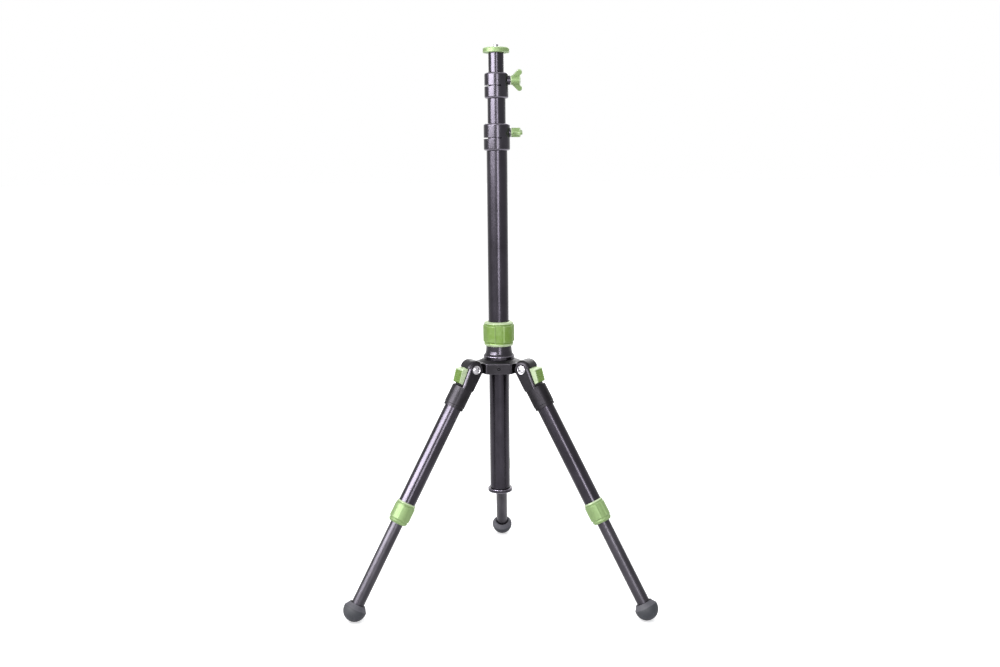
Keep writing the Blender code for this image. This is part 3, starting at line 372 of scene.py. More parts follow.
def mark_edges(mesh, painted_light_zones, wear_and_highlight):
    """Store the pale-edge weight, partly worn finish and partly painted highlight, on narrow faces that round an
    outer edge, and 1 in the height bands of painted highlight and painted reflection.
    """
    shape = bmesh.new()
    shape.from_mesh(mesh)
    layer = shape.faces.layers.float.new("edge")
    for face in shape.faces:
        area = face.calc_area()
        outer = [edge for edge in face.edges if edge.calc_face_angle_signed(0) > EDGE_ANGLE]
        narrow = [edge for edge in outer if area < EDGE_WIDTH * edge.calc_length()]
        height = face.calc_center_median().z
        inside = any(low <= height <= high for low, high in painted_light_zones)
        face[layer] = 1.0 if inside else wear_and_highlight * (len(narrow) > 1)
    shape.to_mesh(mesh)
    shape.free()


def add_piece(name, shape, matrix, finish, body, *nodes, painted_light_zones=(), wear_and_highlight=1.0):
    """Put a bmesh or mesh in its place as a piece that stands for frame nodes."""
    mesh = as_mesh(shape, name) if isinstance(shape, bmesh.types.BMesh) else shape.copy()
    mark_edges(mesh, painted_light_zones, wear_and_highlight)
    grain = mesh.attributes.get("grain") or mesh.attributes.new("grain", "FLOAT_VECTOR", "POINT")
    for vert, value in zip(mesh.vertices, grain.data):
        value.vector = vert.co
    mesh.transform(matrix)
    mesh.materials.clear()
    mesh.materials.append(FINISHES[finish])
    mesh.shade_smooth()
    mesh.set_sharp_from_angle(angle=SHARP_ANGLE)
    piece = new_object(name, mesh)
    normals = piece.modifiers.new("normals", "WEIGHTED_NORMAL")
    normals.keep_sharp = True
    piece.data = evaluated_mesh(piece)
    piece.data.name = name
    piece.modifiers.clear()
    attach(piece, body)
    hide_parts(*nodes)
    return piece


# ---- Finishes ----

# Painted highlight round the angle tab: its width in from each side, and the height above which the top is pale.
TAB_HIGHLIGHT_RIM = 0.0017
TAB_HIGHLIGHT_BROW = -0.0092
# Height above the ball's middle from which the rubber is paler.
PALE_TOP_HEIGHT = 0.0018


def arithmetic(operation, swapped=False):
    """A method that joins a value and another one by a Math node."""

    def method(self, other):
        pair = (other, self) if swapped else (self, other)
        return self._math(operation, *pair)

    return method


class Value:
    """A socket whose arithmetic adds Math nodes."""

    __add__ = arithmetic("ADD")
    __radd__ = arithmetic("ADD", True)
    __sub__ = arithmetic("SUBTRACT")
    __rsub__ = arithmetic("SUBTRACT", True)
    __mul__ = arithmetic("MULTIPLY")
    __rmul__ = arithmetic("MULTIPLY", True)
    larger = arithmetic("MAXIMUM")
    smaller = arithmetic("MINIMUM")

    def __init__(self, tree, socket):
        self.tree = tree
        self.socket = socket

    def plug_into(self, socket):
        """Link this value to a socket."""
        self.tree.links.new(self.socket, socket)

    def _math(self, operation, first, second):
        node = self.tree.nodes.new("ShaderNodeMath")
        node.operation = operation
        for slot, item in zip(node.inputs, (first, second)):
            set_socket(slot, item)
        return Value(self.tree, node.outputs[0])

    def clamped(self):
        """The value kept between 0 and 1."""
        return self.larger(0.0).smaller(1.0)


def set_socket(socket, value):
    """Give a socket a constant, or the link of a value."""
    if isinstance(value, Value):
        value.plug_into(socket)
    else:
        socket.default_value = value


class Finish:
    """A material under construction, for a piece of its own or for the frame's nodes."""

    def __init__(self, name, own, base, roughness, metallic):
        self.own = own
        self.material = bpy.data.materials.new(name)
        self.material.use_nodes = True
        self.material.diffuse_color = (*base, 1.0)
        self.tree = self.material.node_tree
        self.shader = self.tree.nodes["Principled BSDF"]
        self.feed("Base Color", (*base, 1.0))
        self.feed("Roughness", roughness)
        self.feed("Metallic", metallic)

    def node(self, kind, settings=None, **values):
        """Add a node: its settings first, then the values or links of its sockets."""
        node = self.tree.nodes.new(kind)
        for key, value in (settings or {}).items():
            setattr(node, key, value)
        for key, value in values.items():
            set_socket(next(s for s in node.inputs if key in (s.identifier, s.name)), value)
        return node

    def out(self, node, index=0):
        """One output of a node as a value."""
        return Value(self.tree, node.outputs[index])

    def where(self, scale):
        """Coordinates fixed to the piece, stretched by one scale or by one for each axis."""
        if self.own:
            source = self.out(self.node("ShaderNodeAttribute", {"attribute_name": "grain"}), 1)
        else:
            source = self.out(self.node("ShaderNodeTexCoord"), 3)
        scale = scale if isinstance(scale, tuple) else (scale,) * 3
        return self.out(self.node("ShaderNodeMapping", Vector=source, Scale=scale))

    def edge(self):
        """1 on rounded outer edges of a piece, which are paler: partly worn finish, partly painted highlight; 1
        too in bands of painted highlight and painted reflection.
        """
        return self.out(self.node("ShaderNodeAttribute", {"attribute_name": "edge"}), 2)

    def along(self, axis):
        """Distance along one of the piece's own axes."""
        return self.out(self.node("ShaderNodeSeparateXYZ", Vector=self.where(1)), axis)

    def noise(self, scale, detail=3.0):
        """A noise from 0 to 1 at a scale per metre."""
        return self.out(self.node("ShaderNodeTexNoise", Vector=self.where(scale), Scale=1.0,
                                  Detail=detail, Roughness=0.55))

    def mixed(self, factor, first, second):
        """A colour between two others."""
        tones = [tone if isinstance(tone, Value) else (*tone, 1.0) for tone in (first, second)]
        return self.out(self.node("ShaderNodeMix", {"data_type": "RGBA"}, Factor_Float=factor.clamped(),
                                  A_Color=tones[0], B_Color=tones[1]), 2)

    def feed(self, name, value):
        """Set or link one of the shader's sockets."""
        set_socket(self.shader.inputs[name], value)

    def bump(self, height, strength, distance):
        """Raise the surface by a height map."""
        bump = self.node("ShaderNodeBump", Height=height, Strength=strength, Distance=distance)
        self.feed("Normal", self.out(bump))

    def black_with_pale_edges(self, tone, cloud, pale, wear_and_highlight):
        """A clouded black, paler on the rounded edges: partly worn finish, partly painted highlight."""
        plain = self.mixed((cloud - 0.35) * 1.6, brighter(tone, 0.8), brighter(tone, pale))
        # Painted highlight, partly worn finish: the rounded edges go five times paler.
        self.feed("Base Color", self.mixed(self.edge() * wear_and_highlight, plain, brighter(tone, 5.0)))


def brighter(tone, share):
    """A colour scaled and kept below 1."""
    return tuple(min(1.0, part * share) for part in tone)


def tube_black_finish(name, own, tone, satin=0.22):
    """Satin black anodising: fine lines along the tube, and faintly pale edges that are partly worn finish, partly
    painted highlight.
    """
    finish = Finish(name, own, tone, satin, 0.9)
    lines = finish.noise((900, 900, 8))
    cloud = finish.noise((60, 60, 30), 4.0)
    specks = finish.noise(1600, 1.0)
    finish.black_with_pale_edges(tone, cloud, 1.5, 0.7)
    finish.feed("Roughness", satin + lines * 0.08 + (cloud - 0.5) * 0.06)
    finish.bump(lines * 0.6 + specks * 0.4, 0.05, 0.0001)
    return finish.material


def lower_black_finish(name, own, tone):
    """The lower tubes' duller anodising, in a lighter black that is partly a painted reflection."""
    return tube_black_finish(name, own, tone, 0.34)


def cast_black_finish(name, own, tone):
    """Satin black casting: a faint peel, duller patches, and pale edges that are partly worn finish, partly
    painted highlight.
    """
    finish = Finish(name, own, tone, 0.42, 0.85)
    peel = finish.noise(1100, 2.0)
    cloud = finish.noise(90, 4.0)
    finish.black_with_pale_edges(tone, cloud, 1.6, 0.6)
    finish.feed("Roughness", 0.38 + (cloud - 0.5) * 0.12 + peel * 0.05)
    finish.bump(peel, 0.25, 0.00012)
    return finish.material


def green_finish(name, own, tone, highlight_rim_start=0.0):
    """Anodised lime green over lathe lines, paled on rounded edges as partly worn finish, partly painted
    highlight; the last argument is where a tab's painted highlight rim starts.
    """
    colours = bpy.context.scene.tripod_finish
    finish = Finish(name, own, tone, 0.46, 0.12)
    finish.feed("Specular IOR Level", 0.20)
    lathe = finish.noise((25, 25, 3200), 2.0)
    cloud = finish.noise(130, 4.0)
    shade = (cloud - 0.4) * 1.3 + (lathe - 0.5) * 0.35
    plain = finish.mixed(shade, brighter(tone, 0.95), tuple(colours.green_light))
    # Rounded edges go towards the pale green: partly worn finish, partly painted highlight.
    worn_and_highlit = finish.edge() * (0.5 + cloud * 0.6)
    if highlight_rim_start:
        # The tab's rim at its sides and top: a painted highlight.
        across = finish.along(1)
        rim = (across.larger(0 - across) - highlight_rim_start) * 1800
        brow = (finish.along(2) - TAB_HIGHLIGHT_BROW) * 1800
        worn_and_highlit = worn_and_highlit + rim.larger(brow).clamped() * 0.85
    finish.feed("Base Color", finish.mixed(worn_and_highlit, plain, tuple(colours.green_worn_and_highlit)))
    finish.feed("Roughness", 0.42 + lathe * 0.10 + (cloud - 0.5) * 0.10)
    finish.bump(lathe, 0.10, 0.00008)
    return finish.material


def tab_finish(name, own, tone):
    """The angle tab's green, with a painted highlight round its rim."""
    return green_finish(name, own, tone, bpy.context.scene.tripod_leg.tab_half - TAB_HIGHLIGHT_RIM)


def steel_finish(name, own, tone):
    """Bright plating with fine scratches."""
    finish = Finish(name, own, tone, 0.25, 1.0)
    scratches = finish.noise((400, 3000, 400))
    cloud = finish.noise(300)
    shade = finish.mixed((cloud - 0.3) * 1.2, brighter(tone, 0.85), brighter(tone, 1.15))
    finish.feed("Base Color", shade)
    finish.feed("Roughness", 0.20 + scratches * 0.12 + (cloud - 0.5) * 0.1)
    finish.bump(scratches, 0.08, 0.00005)
    return finish.material


def nylon_finish(name, own, tone):
    """Moulded black nylon, matt with a faint grain."""
    finish = Finish(name, own, tone, 0.5, 0.0)
    grain = finish.noise(1800, 2.0)
    cloud = finish.noise(120)
    finish.feed("Base Color", finish.mixed(cloud, brighter(tone, 0.8), brighter(tone, 1.3)))
    finish.feed("Roughness", 0.46 + grain * 0.12)
    finish.bump(grain, 0.2, 0.0001)
    return finish.material


def rubber_finish(name, own, tone):
    """Moulded rubber that dust has greyed in patches, and paler from just above the ball's middle upwards."""
    finish = Finish(name, own, tone, 0.7, 0.0)
    grain = finish.noise(1500, 2.0)
    cloud = finish.noise(110, 5.0)
    # Paler from just above the ball's middle.
    above = (finish.along(2) + LEG_LENGTH - PALE_TOP_HEIGHT) * 900
    dust = (cloud - 0.52) * 1.1 + above.clamped() * 0.80
    finish.feed("Base Color", finish.mixed(dust, tone, tuple(bpy.context.scene.tripod_finish.dust)))
    finish.feed("Roughness", 0.62 + grain * 0.16)
    finish.bump(grain, 0.35, 0.00015)
    return finish.material


# Each finish: what makes it, its colour among the settings, and the frame's material slot
FINISH_MAKERS = {
    "black_anodised": (tube_black_finish, "tube_black", "black_anodised"),
    "lower_anodised": (lower_black_finish, "lower_black", "black_anodised"),
    "collar_casting": (tube_black_finish, "collar_black", "black_casting"),
    "black_casting": (cast_black_finish, "cast_black", "black_casting"),
    "green_anodised": (green_finish, "green", "green_anodised"),
    "pale_anodised": (green_finish, "green_pale", "green_anodised"),
    "tab_anodised": (tab_finish, "green", "green_anodised"),
    "steel": (steel_finish, "steel", "steel"),
    "nylon": (nylon_finish, "nylon", "nylon"),
    "rubber": (rubber_finish, "rubber", "rubber"),
}
FINISHES = {}


# ---- Column pieces ----

# Each clamp: its name, the body it rides and the turn of its knob in degrees
CLAMPS = (("lower", "column", 98), ("upper", "mid", 20))
COLLAR_SLEEVE = 0.0128
COLLAR_FILLET = 0.0025
KERF_REACH = 0.0060
BOSS_END = 0.0168
SCREW_HOLE = 0.0028
WING_HUB_R = 0.0056
WING_HUB_LENGTH = 0.0112
WING_HALF = 0.0016
SHANK_R = 0.0025
LOCK_PADS = 5
LOCK_TURN = 22
LOCK_RING_HEIGHT = 0.0302
PAD_SPAN = 38
PAD_EASE = 2.5
HEAD_TOP = 0.6749
HEAD_RIM = 0.0018
THREAD_TURNS = 12
THREAD_STEPS = 32


def tube(radius, wall, low, high):
    """An open tube whose ends are eased."""
    inside = radius - wall
    return turned([(radius, high), (radius, low), (inside, low), (inside, high)], soft=0.00025)


def clamp_collar(collar_r, height, tube_r, next_r, settings):
    """Collar: a sleeve on one tube, a kerf, and a band with a screw boss on the next."""
    step = COLLAR_SLEEVE + GAP
    kerf_z = step + settings.kerf
    boss_z = kerf_z + settings.kerf / 2 + settings.boss_radius + GAP
    fillet = COLLAR_FILLET
    outline = [(tube_r + GAP, 0)]
    outline += arc((collar_r - fillet, fillet), fillet, -90, 0, 6)
    outline += arc((collar_r - fillet, height - fillet), fillet, 0, 90, 6)
    outline += [(next_r + GAP, height), (next_r + GAP, step), (tube_r + GAP, step)]
    body = turned(outline)
    lift = shift(z=boss_z)
    boss = rod(settings.boss_radius, collar_r - fillet, BOSS_END, 48)
    bevelled(boss, 0.0004, lambda middle, along: middle.z > BOSS_END - 1e-6)
    hole = rod(SCREW_HOLE, next_r / 2, BOSS_END + fillet)
    kerf = block((-2 * collar_r, -2 * collar_r, kerf_z - settings.kerf / 2),
                 (KERF_REACH, 2 * collar_r, kerf_z + settings.kerf / 2))
    return combined(body, ("UNION", moved(along_x(boss), lift)),
                    ("DIFFERENCE", moved(along_x(hole), lift)), ("DIFFERENCE", kerf), edge=0.00025)


def wing_screw():
    """Knob with two flared wings on a shank; +Z points out of the boss."""
    end = GAP + WING_HUB_LENGTH
    knob = [(0, GAP), (WING_HUB_R, GAP), (WING_HUB_R, end), (WING_HUB_R * 0.55, end + 0.0006),
            (0, end + 0.0006)]
    tip = arc((0.0097, 0.0105), 0.0032, -40, 130, 14)
    outline = [(WING_HUB_R / 2, 0.0018), (WING_HUB_R, 0.0021), *tip, (WING_HUB_R / 2, 0.0085)]
    steps = []
    for turn in (0, 180):
        wing = sideways(softened(outline, 0.0006), WING_HALF)
        bevelled(wing, 0.0005, lambda middle, along: abs(middle.y) > WING_HALF - 1e-5, 2)
        steps.append(("UNION", moved(wing, rotation(turn, "Z") @ shift(z=GAP))))
    shank = rod(SHANK_R, -0.0045, GAP * 2)
    return combined(turned(softened(knob, 0.0010, False), 48), ("UNION", shank), *steps, edge=0.0002)


def padded_grip(shape, low, high, radius, depth):
    """Press a turned grip in between its raised pads."""
    period = math.tau / LOCK_PADS
    half = math.radians(PAD_SPAN) / 2
    ease = math.radians(PAD_EASE)
    for vert in shape.verts:
        reach = math.hypot(vert.co.x, vert.co.y)
        if reach < radius - 2.5 * depth or not low < vert.co.z < high:
            continue
        turn = (math.atan2(vert.co.y, vert.co.x) + period / 2) % period - period / 2
        share = min(1.0, max(0.0, (abs(turn) - half) / ease))
        pressed = reach - max(0.0, reach - (radius - depth)) * share
        vert.co.x *= pressed / reach
        vert.co.y *= pressed / reach
    return shape


def column_lock_ring(settings, low):
    """Twist ring: raised grip pads between a top ring and a lower lip."""
    top = low + LOCK_RING_HEIGHT
    grip = settings.lock_radius
    neck = 0.0157
    lip = settings.outer_radius + 2 * GAP
    outline = [
        (grip - 0.0042, top), (grip - 0.0026, top - 0.0006), (grip - 0.0010, top - 0.0023),
        (grip - 0.0018, top - 0.0038), (grip, top - 0.0048), (grip, low + 0.0056),
        (grip - 0.0016, low + 0.0042), (grip - 0.0010, low + 0.0030), (grip - 0.0014, low + 0.0008),
        (grip - 0.0024, low), (neck, low), (neck, top - 0.0036), (lip, top - 0.0036), (lip, top),
    ]
    shape = turned(outline, 180, soft=0.0004)
    padded_grip(shape, low + 0.0034, top - 0.0042, grip, 0.0010)
    return moved(shape, rotation(LOCK_TURN, "Z"))


def column_lock_base(settings):
    """Cone with a flange over the hub's boss, a neck above and a spigot below."""
    low, top = node_low("column_lock_base"), node_high("column_lock_base")
    base = low + 0.0100
    flange = base + 0.0040
    cone = flange + 0.0120
    guide = settings.outer_radius + 2 * GAP
    neck = 0.0154
    return turned([
        (neck, top), (neck, cone), (0.0157, cone), (0.0161, flange + 0.0060),
        (0.0169, flange + 0.0025), (0.0183, flange + 0.0007), (0.0193, flange), (0.0193, base),
        (0.0165, base), (0.0165, low), (0.0148, low), (0.0148, flange), (guide, flange),
        (guide, top - 0.0153), (0.0142, top - 0.0153), (0.0149, top),
    ], soft=0.0006)


def end_cap(settings):
    """Rounded flange under the tube with a hollow spigot inside it."""
    low, top = node_low("column_end_cap"), node_high("column_end_cap")
    seat = low + 0.0046
    spigot = settings.outer_radius - settings.outer_wall - GAP
    return turned([
        (spigot, top), (spigot, seat), (settings.cap_radius, seat), (settings.cap_radius, low),
        (0.0055, low), (0.0055, low + 0.0006), (0.0040, low + 0.0006), (0.0040, top),
    ], soft=0.0011)


def head_plate(settings):
    """Round plate with an eased rim and a spigot, bored for the stud and a grub screw."""
    top, rim = HEAD_TOP, HEAD_RIM
    seat = top - 0.0058
    low = node_low("head_plate")
    spigot = settings.inner_radius - settings.inner_wall - GAP
    bore = settings.stud_radius + GAP
    body = turned([
        (bore, top), *reversed(arc((settings.head_radius - rim, top - rim), rim, 0, 90, 5)),
        (settings.head_radius, seat), (spigot, seat), (spigot, low),
        (0.0053, low), (0.0053, low + 0.0100), (bore, low + 0.0100),
    ], soft=0.0006)
    grub = along_x(rod(0.0017, settings.stud_radius, settings.head_radius + 0.001, 20))
    return combined(body, ("DIFFERENCE", moved(grub, shift(z=seat + 0.0024))))


def stud(settings):
    """Stud with a real thread above the plate and a round slotted head below it."""
    low, top = node_low("mount_stud"), node_high("mount_stud")
    pitch = settings.thread_pitch
    crest = settings.stud_radius
    root = crest - pitch * 0.5
    turns = THREAD_TURNS - 1
    shape = bmesh.new()
    profile = [(root, -pitch * 0.44), (crest, -pitch * 0.06), (crest, pitch * 0.06),
               (root, pitch * 0.44)]
    start = top - 0.0008 - THREAD_TURNS * pitch + pitch
    corners = [shape.verts.new((radius, 0, start + height)) for radius, height in profile]
    edges = [shape.edges.new((corners[i], corners[(i + 1) % 4])) for i in range(4)]
    face = shape.faces.new(corners)
    bmesh.ops.spin(shape, geom=[face, *edges, *corners], cent=(0, 0, 0), axis=(0, 0, 1),
                   dvec=(0, 0, pitch / THREAD_STEPS), angle=math.tau * turns,
                   steps=THREAD_STEPS * turns)
    bmesh.ops.remove_doubles(shape, verts=shape.verts, dist=1e-7)
    bmesh.ops.recalc_face_normals(shape, faces=shape.faces)
    core = turned([(0, top), (root - 0.0003, top), (root + 0.0001, top - 0.0006),
                   (root + 0.0001, low + 0.0040), (0.0050, low + 0.0040), (0.0050, low), (0, low)],
                  48, soft=0.0002)
    slot = block((-0.0100, -0.0006, low - 0.0006), (0.0100, 0.0006, low + 0.0012))
    return combined(core, ("DIFFERENCE", slot), ("UNION", shape))


# ---- Hub ----

HUB_HEIGHT = 0.0130
HUB_HALF = HUB_HEIGHT / 2
HUB_FLAT = 0.0260
HUB_SIDE = 0.0265
TONGUE_HALF = 0.0060
TONGUE_ROOT = 0.0180
PIVOT_BORE = 0.0027
STOP_R = 0.0042
STOP_Z = -0.0028
SPREAD_STEPS = (25, 50)


def hub(settings):
    """The spider: a six-sided body with a raised boss, three tongues and the bore."""
    low = PIVOT_Z - HUB_HALF
    top = PIVOT_Z + HUB_HALF
    boss_top = top + 0.0028
    half = (2 * HUB_FLAT - HUB_SIDE) * math.tan(math.radians(30))
    points = []
    for azimuth in sorted(LEG_AZIMUTHS):
        across = Matrix.Rotation(math.radians(azimuth), 2)
        points += [tuple(across @ Vector((HUB_SIDE, offset))) for offset in (-half, half)]
    body = upright(softened(points, 0.0030, steps=6), low, top)
    bevelled(body, 0.0009, lambda middle, along: abs(along.z) < 0.1, 3)
    boss = turned([(0, low + 0.003), (0.0248, low + 0.003), (0.0248, top), (0.0200, boss_top),
                   (0, boss_top)], soft=0.0005)
    steps = [("UNION", boss)]
    for azimuth in LEG_AZIMUTHS:
        turn = rotation(azimuth, "Z")
        out = turn @ shift(PIVOT_R, 0, PIVOT_Z)
        nose = arc((PIVOT_R, 0), HUB_HALF, -90, 90, 32)
        tongue = sideways([(TONGUE_ROOT, -HUB_HALF), *nose, (TONGUE_ROOT, HUB_HALF)], TONGUE_HALF)
        bevelled(tongue, 0.0004, lambda middle, along: abs(middle.y) > TONGUE_HALF - 1e-5, 2)
        steps.append(("UNION", moved(tongue, turn @ shift(z=PIVOT_Z))))
        steps.append(("DIFFERENCE", moved(along_y(rod(PIVOT_BORE, -0.02, 0.02)), out)))
        for cutter in nose_notches():
            steps.append(("DIFFERENCE", moved(cutter, out @ Matrix.Rotation(-LEG_SPREAD, 4, "Y"))))
    bore = rod(settings.outer_radius + 2 * GAP, low - 0.003, boss_top + 0.003, 64)
    spigot = rod(0.0168, low + 0.0024, boss_top + 0.003, 72)
    screw = along_y(rod(0.0019, 0.0155, HUB_FLAT + 0.002))
    moved(screw, shift(z=PIVOT_Z) @ rotation(180, "Z"))
    steps += [("DIFFERENCE", bore), ("DIFFERENCE", spigot), ("DIFFERENCE", screw)]
    return combined(body, *steps)


def nose_notches():
    """Cutters for the tongue's locking steps, in the frame of a leg as it stands."""
    reach = HUB_HALF + 0.001
    stop_angle = math.degrees(math.asin(STOP_Z / STOP_R))
    reach_angle = math.degrees(math.asin(STOP_Z / reach))
    end_angle = stop_angle - math.degrees(LEG_SPREAD) - 28
    swept = arc((0, 0), reach, reach_angle, end_angle, 20)
    swept += arc((0, 0), STOP_R, end_angle, stop_angle, 16)
    notch = [(0.0033, -0.0061), (reach, -0.0061), (reach, STOP_Z), (0.0033, STOP_Z)]
    steps = [moved(sideways(notch, 2 * TONGUE_HALF), rotation(-step, "Y")) for step in SPREAD_STEPS]
    return [sideways(swept, 2 * TONGUE_HALF), *steps]


def crossed_head(settings, shank, end, face):
    """Domed screw head along +Z with a cross recess, on a shank."""
    radius = settings.screw_radius
    curve = radius * 1.35
    dome = [point for point in arc((0, face - curve), curve, 90, 52, 8) if point[0] < radius * 0.93]
    outline = [(0, end), (shank, end), (shank, face - 0.0017), (radius, face - 0.0017),
               (radius, face - 0.0009), *reversed(dome)]
    body = turned(softened(outline, 0.0003, False), 48)
    arm, half, deep = 0.0029, 0.0006, 0.0013
    cuts = []
    for first, second in ((arm, half), (half, arm)):
        bar = block((-first, -second, face - deep), (first, second, face + deep))
        cuts.append(("DIFFERENCE", moved(bar, rotation(30, "Z"))))
    return combined(body, *cuts, edge=0.00012)


# ---- Leg pieces ----

SEAT_LOW = (0.0062, -0.0240)
COLLAR_TOP = -0.0255
COLLAR_LENGTH = 0.0275
FORK_LOW = COLLAR_TOP - 0.0024
UPPER_TUBE_TOP = COLLAR_TOP - 0.0048
LOCK_TOP = -0.1800
LOCK_LENGTH = 0.0270
UPPER_TUBE_LOW = LOCK_TOP - 0.0110
LOWER_TUBE_TOP = -0.1617
FOOT_RIM = 0.0080 - LEG_LENGTH
LOWER_TUBE_LOW = FOOT_RIM - 0.0109
STEM_Z = -0.0160
TAB_TOP_Z = -0.0030
HUMP_R = 0.0112
HUMP_BACK = 99
HEAD_DEPTH = 0.0012
RIDGES = 6
SPRING_TURNS = 3
SPRING_STEPS = 20
SPRING_R = 0.0030
SPRING_LENGTH = 0.0052
SPRING_START = -0.0013
WIRE_R = 0.00025


def cheek_outline(settings):
    """Outline of the fork for an inset: round knuckle, leaning seat and straight back."""
    knuckle = settings.knuckle_radius

    def outline(inset):
        crown = []
        for angle in range(180, -1, -4):
            share = 0.2 + 0.8 * min(1.0, (180 - angle) / 60)
            crown += arc((0, 0), knuckle - inset * share, angle, angle, 1)[:1]
        front = SEAT_LOW[0] - inset
        return [(-knuckle + inset * 0.2, FORK_LOW), *crown, (front, SEAT_LOW[1]), (front, FORK_LOW)]

    return outline


def hump_outline(settings):
    """Outline of the bridge over the knuckle's outer side for an inset."""
    low = TAB_TOP_Z + GAP
    start = math.degrees(math.asin(low / HUMP_R))
    inner = settings.knuckle_radius / 2

    def outline(inset):
        radius = HUMP_R - inset
        first = math.degrees(math.asin(low / radius))
        back = arc((0, 0), inner, HUMP_BACK, HUMP_BACK, 1)[:1]
        return [(inner, low), *arc((0, 0), radius, min(first, start + 20), HUMP_BACK, 28), *back]

    return outline


def shoulder(settings):
    """Forked casting: knuckle, tab seat and collar."""
    half = settings.cheek_half
    body = slab(cheek_outline(settings), half, 0.0030)
    hump = slab(hump_outline(settings), half - 0.0001, 0.0048, 8)
    wide = half * 1.5
    envelope = turned([(0, wide), (wide, wide), (wide, SEAT_LOW[1] + 0.0040),
                       (settings.collar_radius, FORK_LOW + 0.0004), (0, FORK_LOW + 0.0004)], 96)
    radius = HUB_HALF + 0.0005
    slot = arc((0, 0), radius, -90, 90 - math.degrees(LEG_SPREAD), 32)
    last = slot[-1]
    slot.append((last[0] - 0.03 * math.cos(LEG_SPREAD), last[1] + 0.03 * math.sin(LEG_SPREAD)))
    slot.append((-0.03, -radius))
    head = settings.screw_radius + GAP
    stem = moved(along_x(rod(0.0023, -0.002, 0.014)), shift(z=STEM_Z))
    pocket = moved(along_x(rod(0.0040, -0.014, -0.001)), shift(z=STEM_Z))
    window = block((0.00325, -0.0043, -0.0061), (0.014, 0.0043, -0.0028))
    return combined(
        body, ("UNION", hump), ("INTERSECT", envelope), ("UNION", shoulder_collar(settings)),
        ("DIFFERENCE", sideways(slot, TONGUE_HALF + GAP)),
        ("DIFFERENCE", along_y(rod(PIVOT_BORE, -wide, wide))),
        ("DIFFERENCE", along_y(rod(head, half - HEAD_DEPTH, wide, 48))),
        ("DIFFERENCE", along_y(rod(head, -wide, -half + HEAD_DEPTH, 48))),
        ("DIFFERENCE", window), ("DIFFERENCE", stem), ("DIFFERENCE", pocket),
    )


def shoulder_collar(settings):
    """Collar with a groove near its lower end and a blind bore for the upper tube."""
    top = COLLAR_TOP
    low = top - COLLAR_LENGTH
    radius = settings.collar_radius
    groove = low + 0.0035
    bore = settings.upper_radius + GAP
    return turned([
        (0, top), (radius - 0.0012, top), (radius, top - 0.0012), (radius, groove + 0.0005),
        (radius - 0.0005, groove), (radius - 0.0005, low), (bore, low), (bore, top - 0.0045),
        (0, top - 0.0045),
    ], 96)


def angle_tab(settings):
    """Ridged tab with a pawl at its upper end and a guide stem."""
    knuckle = settings.knuckle_radius

    def seat(height):
        return knuckle + (SEAT_LOW[0] - knuckle) * height / SEAT_LOW[1] + GAP

    peak, tail = Vector((0.0157, -0.0078)), Vector((0.0116, -0.0233))
    run = tail - peak
    inward = Vector((run.y, -run.x)).normalized() * 0.0006
    outline = [(seat(tail.y), tail.y), (seat(TAB_TOP_Z), TAB_TOP_Z)]
    for ridge in range(RIDGES):
        for share, deep in ((0.0, 0), (0.55, 0), (0.75, 1)):
            outline.append(tuple(peak + run * ((ridge + share) / RIDGES) + inward * deep))
    outline.append(tuple(tail))
    half = settings.tab_half
    body = sideways(softened(outline, 0.00025, steps=2), half)
    bevelled(body, 0.0007,
             lambda middle, along: abs(middle.y) > half - 1e-5 and middle.x > knuckle * 1.05, 2)
    pawl = block((0.0036, -0.0040, -0.0058), (0.0102, 0.0040, -0.0031))
    stem = moved(along_x(rod(0.0020, -0.0022, seat(STEM_Z) + 0.001)), shift(z=STEM_Z))
    hole = moved(along_x(rod(0.0013, -0.0044, seat(STEM_Z))), shift(z=STEM_Z))
    return combined(body, ("UNION", pawl), ("UNION", stem), ("DIFFERENCE", hole), edge=0.00012)


def tab_spring():
    """The tab's return spring as one wire."""
    last = SPRING_TURNS * SPRING_STEPS
    curve = bpy.data.curves.new("tab_spring", "CURVE")
    curve.dimensions = "3D"
    curve.bevel_depth = WIRE_R
    curve.bevel_resolution = 3
    curve.use_fill_caps = True
    spline = curve.splines.new("POLY")
    spline.points.add(last)
    for index, point in enumerate(spline.points):
        angle = math.tau * index / SPRING_STEPS
        x = SPRING_START - WIRE_R - (SPRING_LENGTH - 2 * WIRE_R) * index / last
        point.co = (x, SPRING_R * math.cos(angle), STEM_Z + SPRING_R * math.sin(angle), 1)
    thing = new_object("tab_spring", curve)
    mesh = evaluated_mesh(thing)
    bpy.data.objects.remove(thing, do_unlink=True)
    shape = bmesh.new()
    shape.from_mesh(mesh)
    bmesh.ops.remove_doubles(shape, verts=shape.verts, dist=1e-6)
    bmesh.ops.recalc_face_normals(shape, faces=shape.faces)
    return shape


def leg_lock_ring(settings):
    """Twist ring of a leg: raised grip pads between a top ring and a lower lip."""
    top = LOCK_TOP
    low = top - LOCK_LENGTH
    grip = settings.lock_radius
    upper = settings.upper_radius + GAP
    lower = settings.lower_radius + 2 * GAP
    outline = [
        (grip - 0.0016, top), (grip - 0.0006, top - 0.0014), (grip - 0.0011, top - 0.0035),
        (grip, top - 0.0044), (grip, low + 0.0058), (grip - 0.0013, low + 0.0042),
        (grip - 0.0008, low + 0.0026), (grip - 0.0024, low), (lower, low), (lower, low + 0.0024),
        (lower + 0.0010, low + 0.0024), (upper, top - 0.0113), (upper, top),
    ]
    shape = turned(outline, 120, soft=0.0003)
    return padded_grip(shape, low + 0.0030, top - 0.0038, grip, 0.00055)


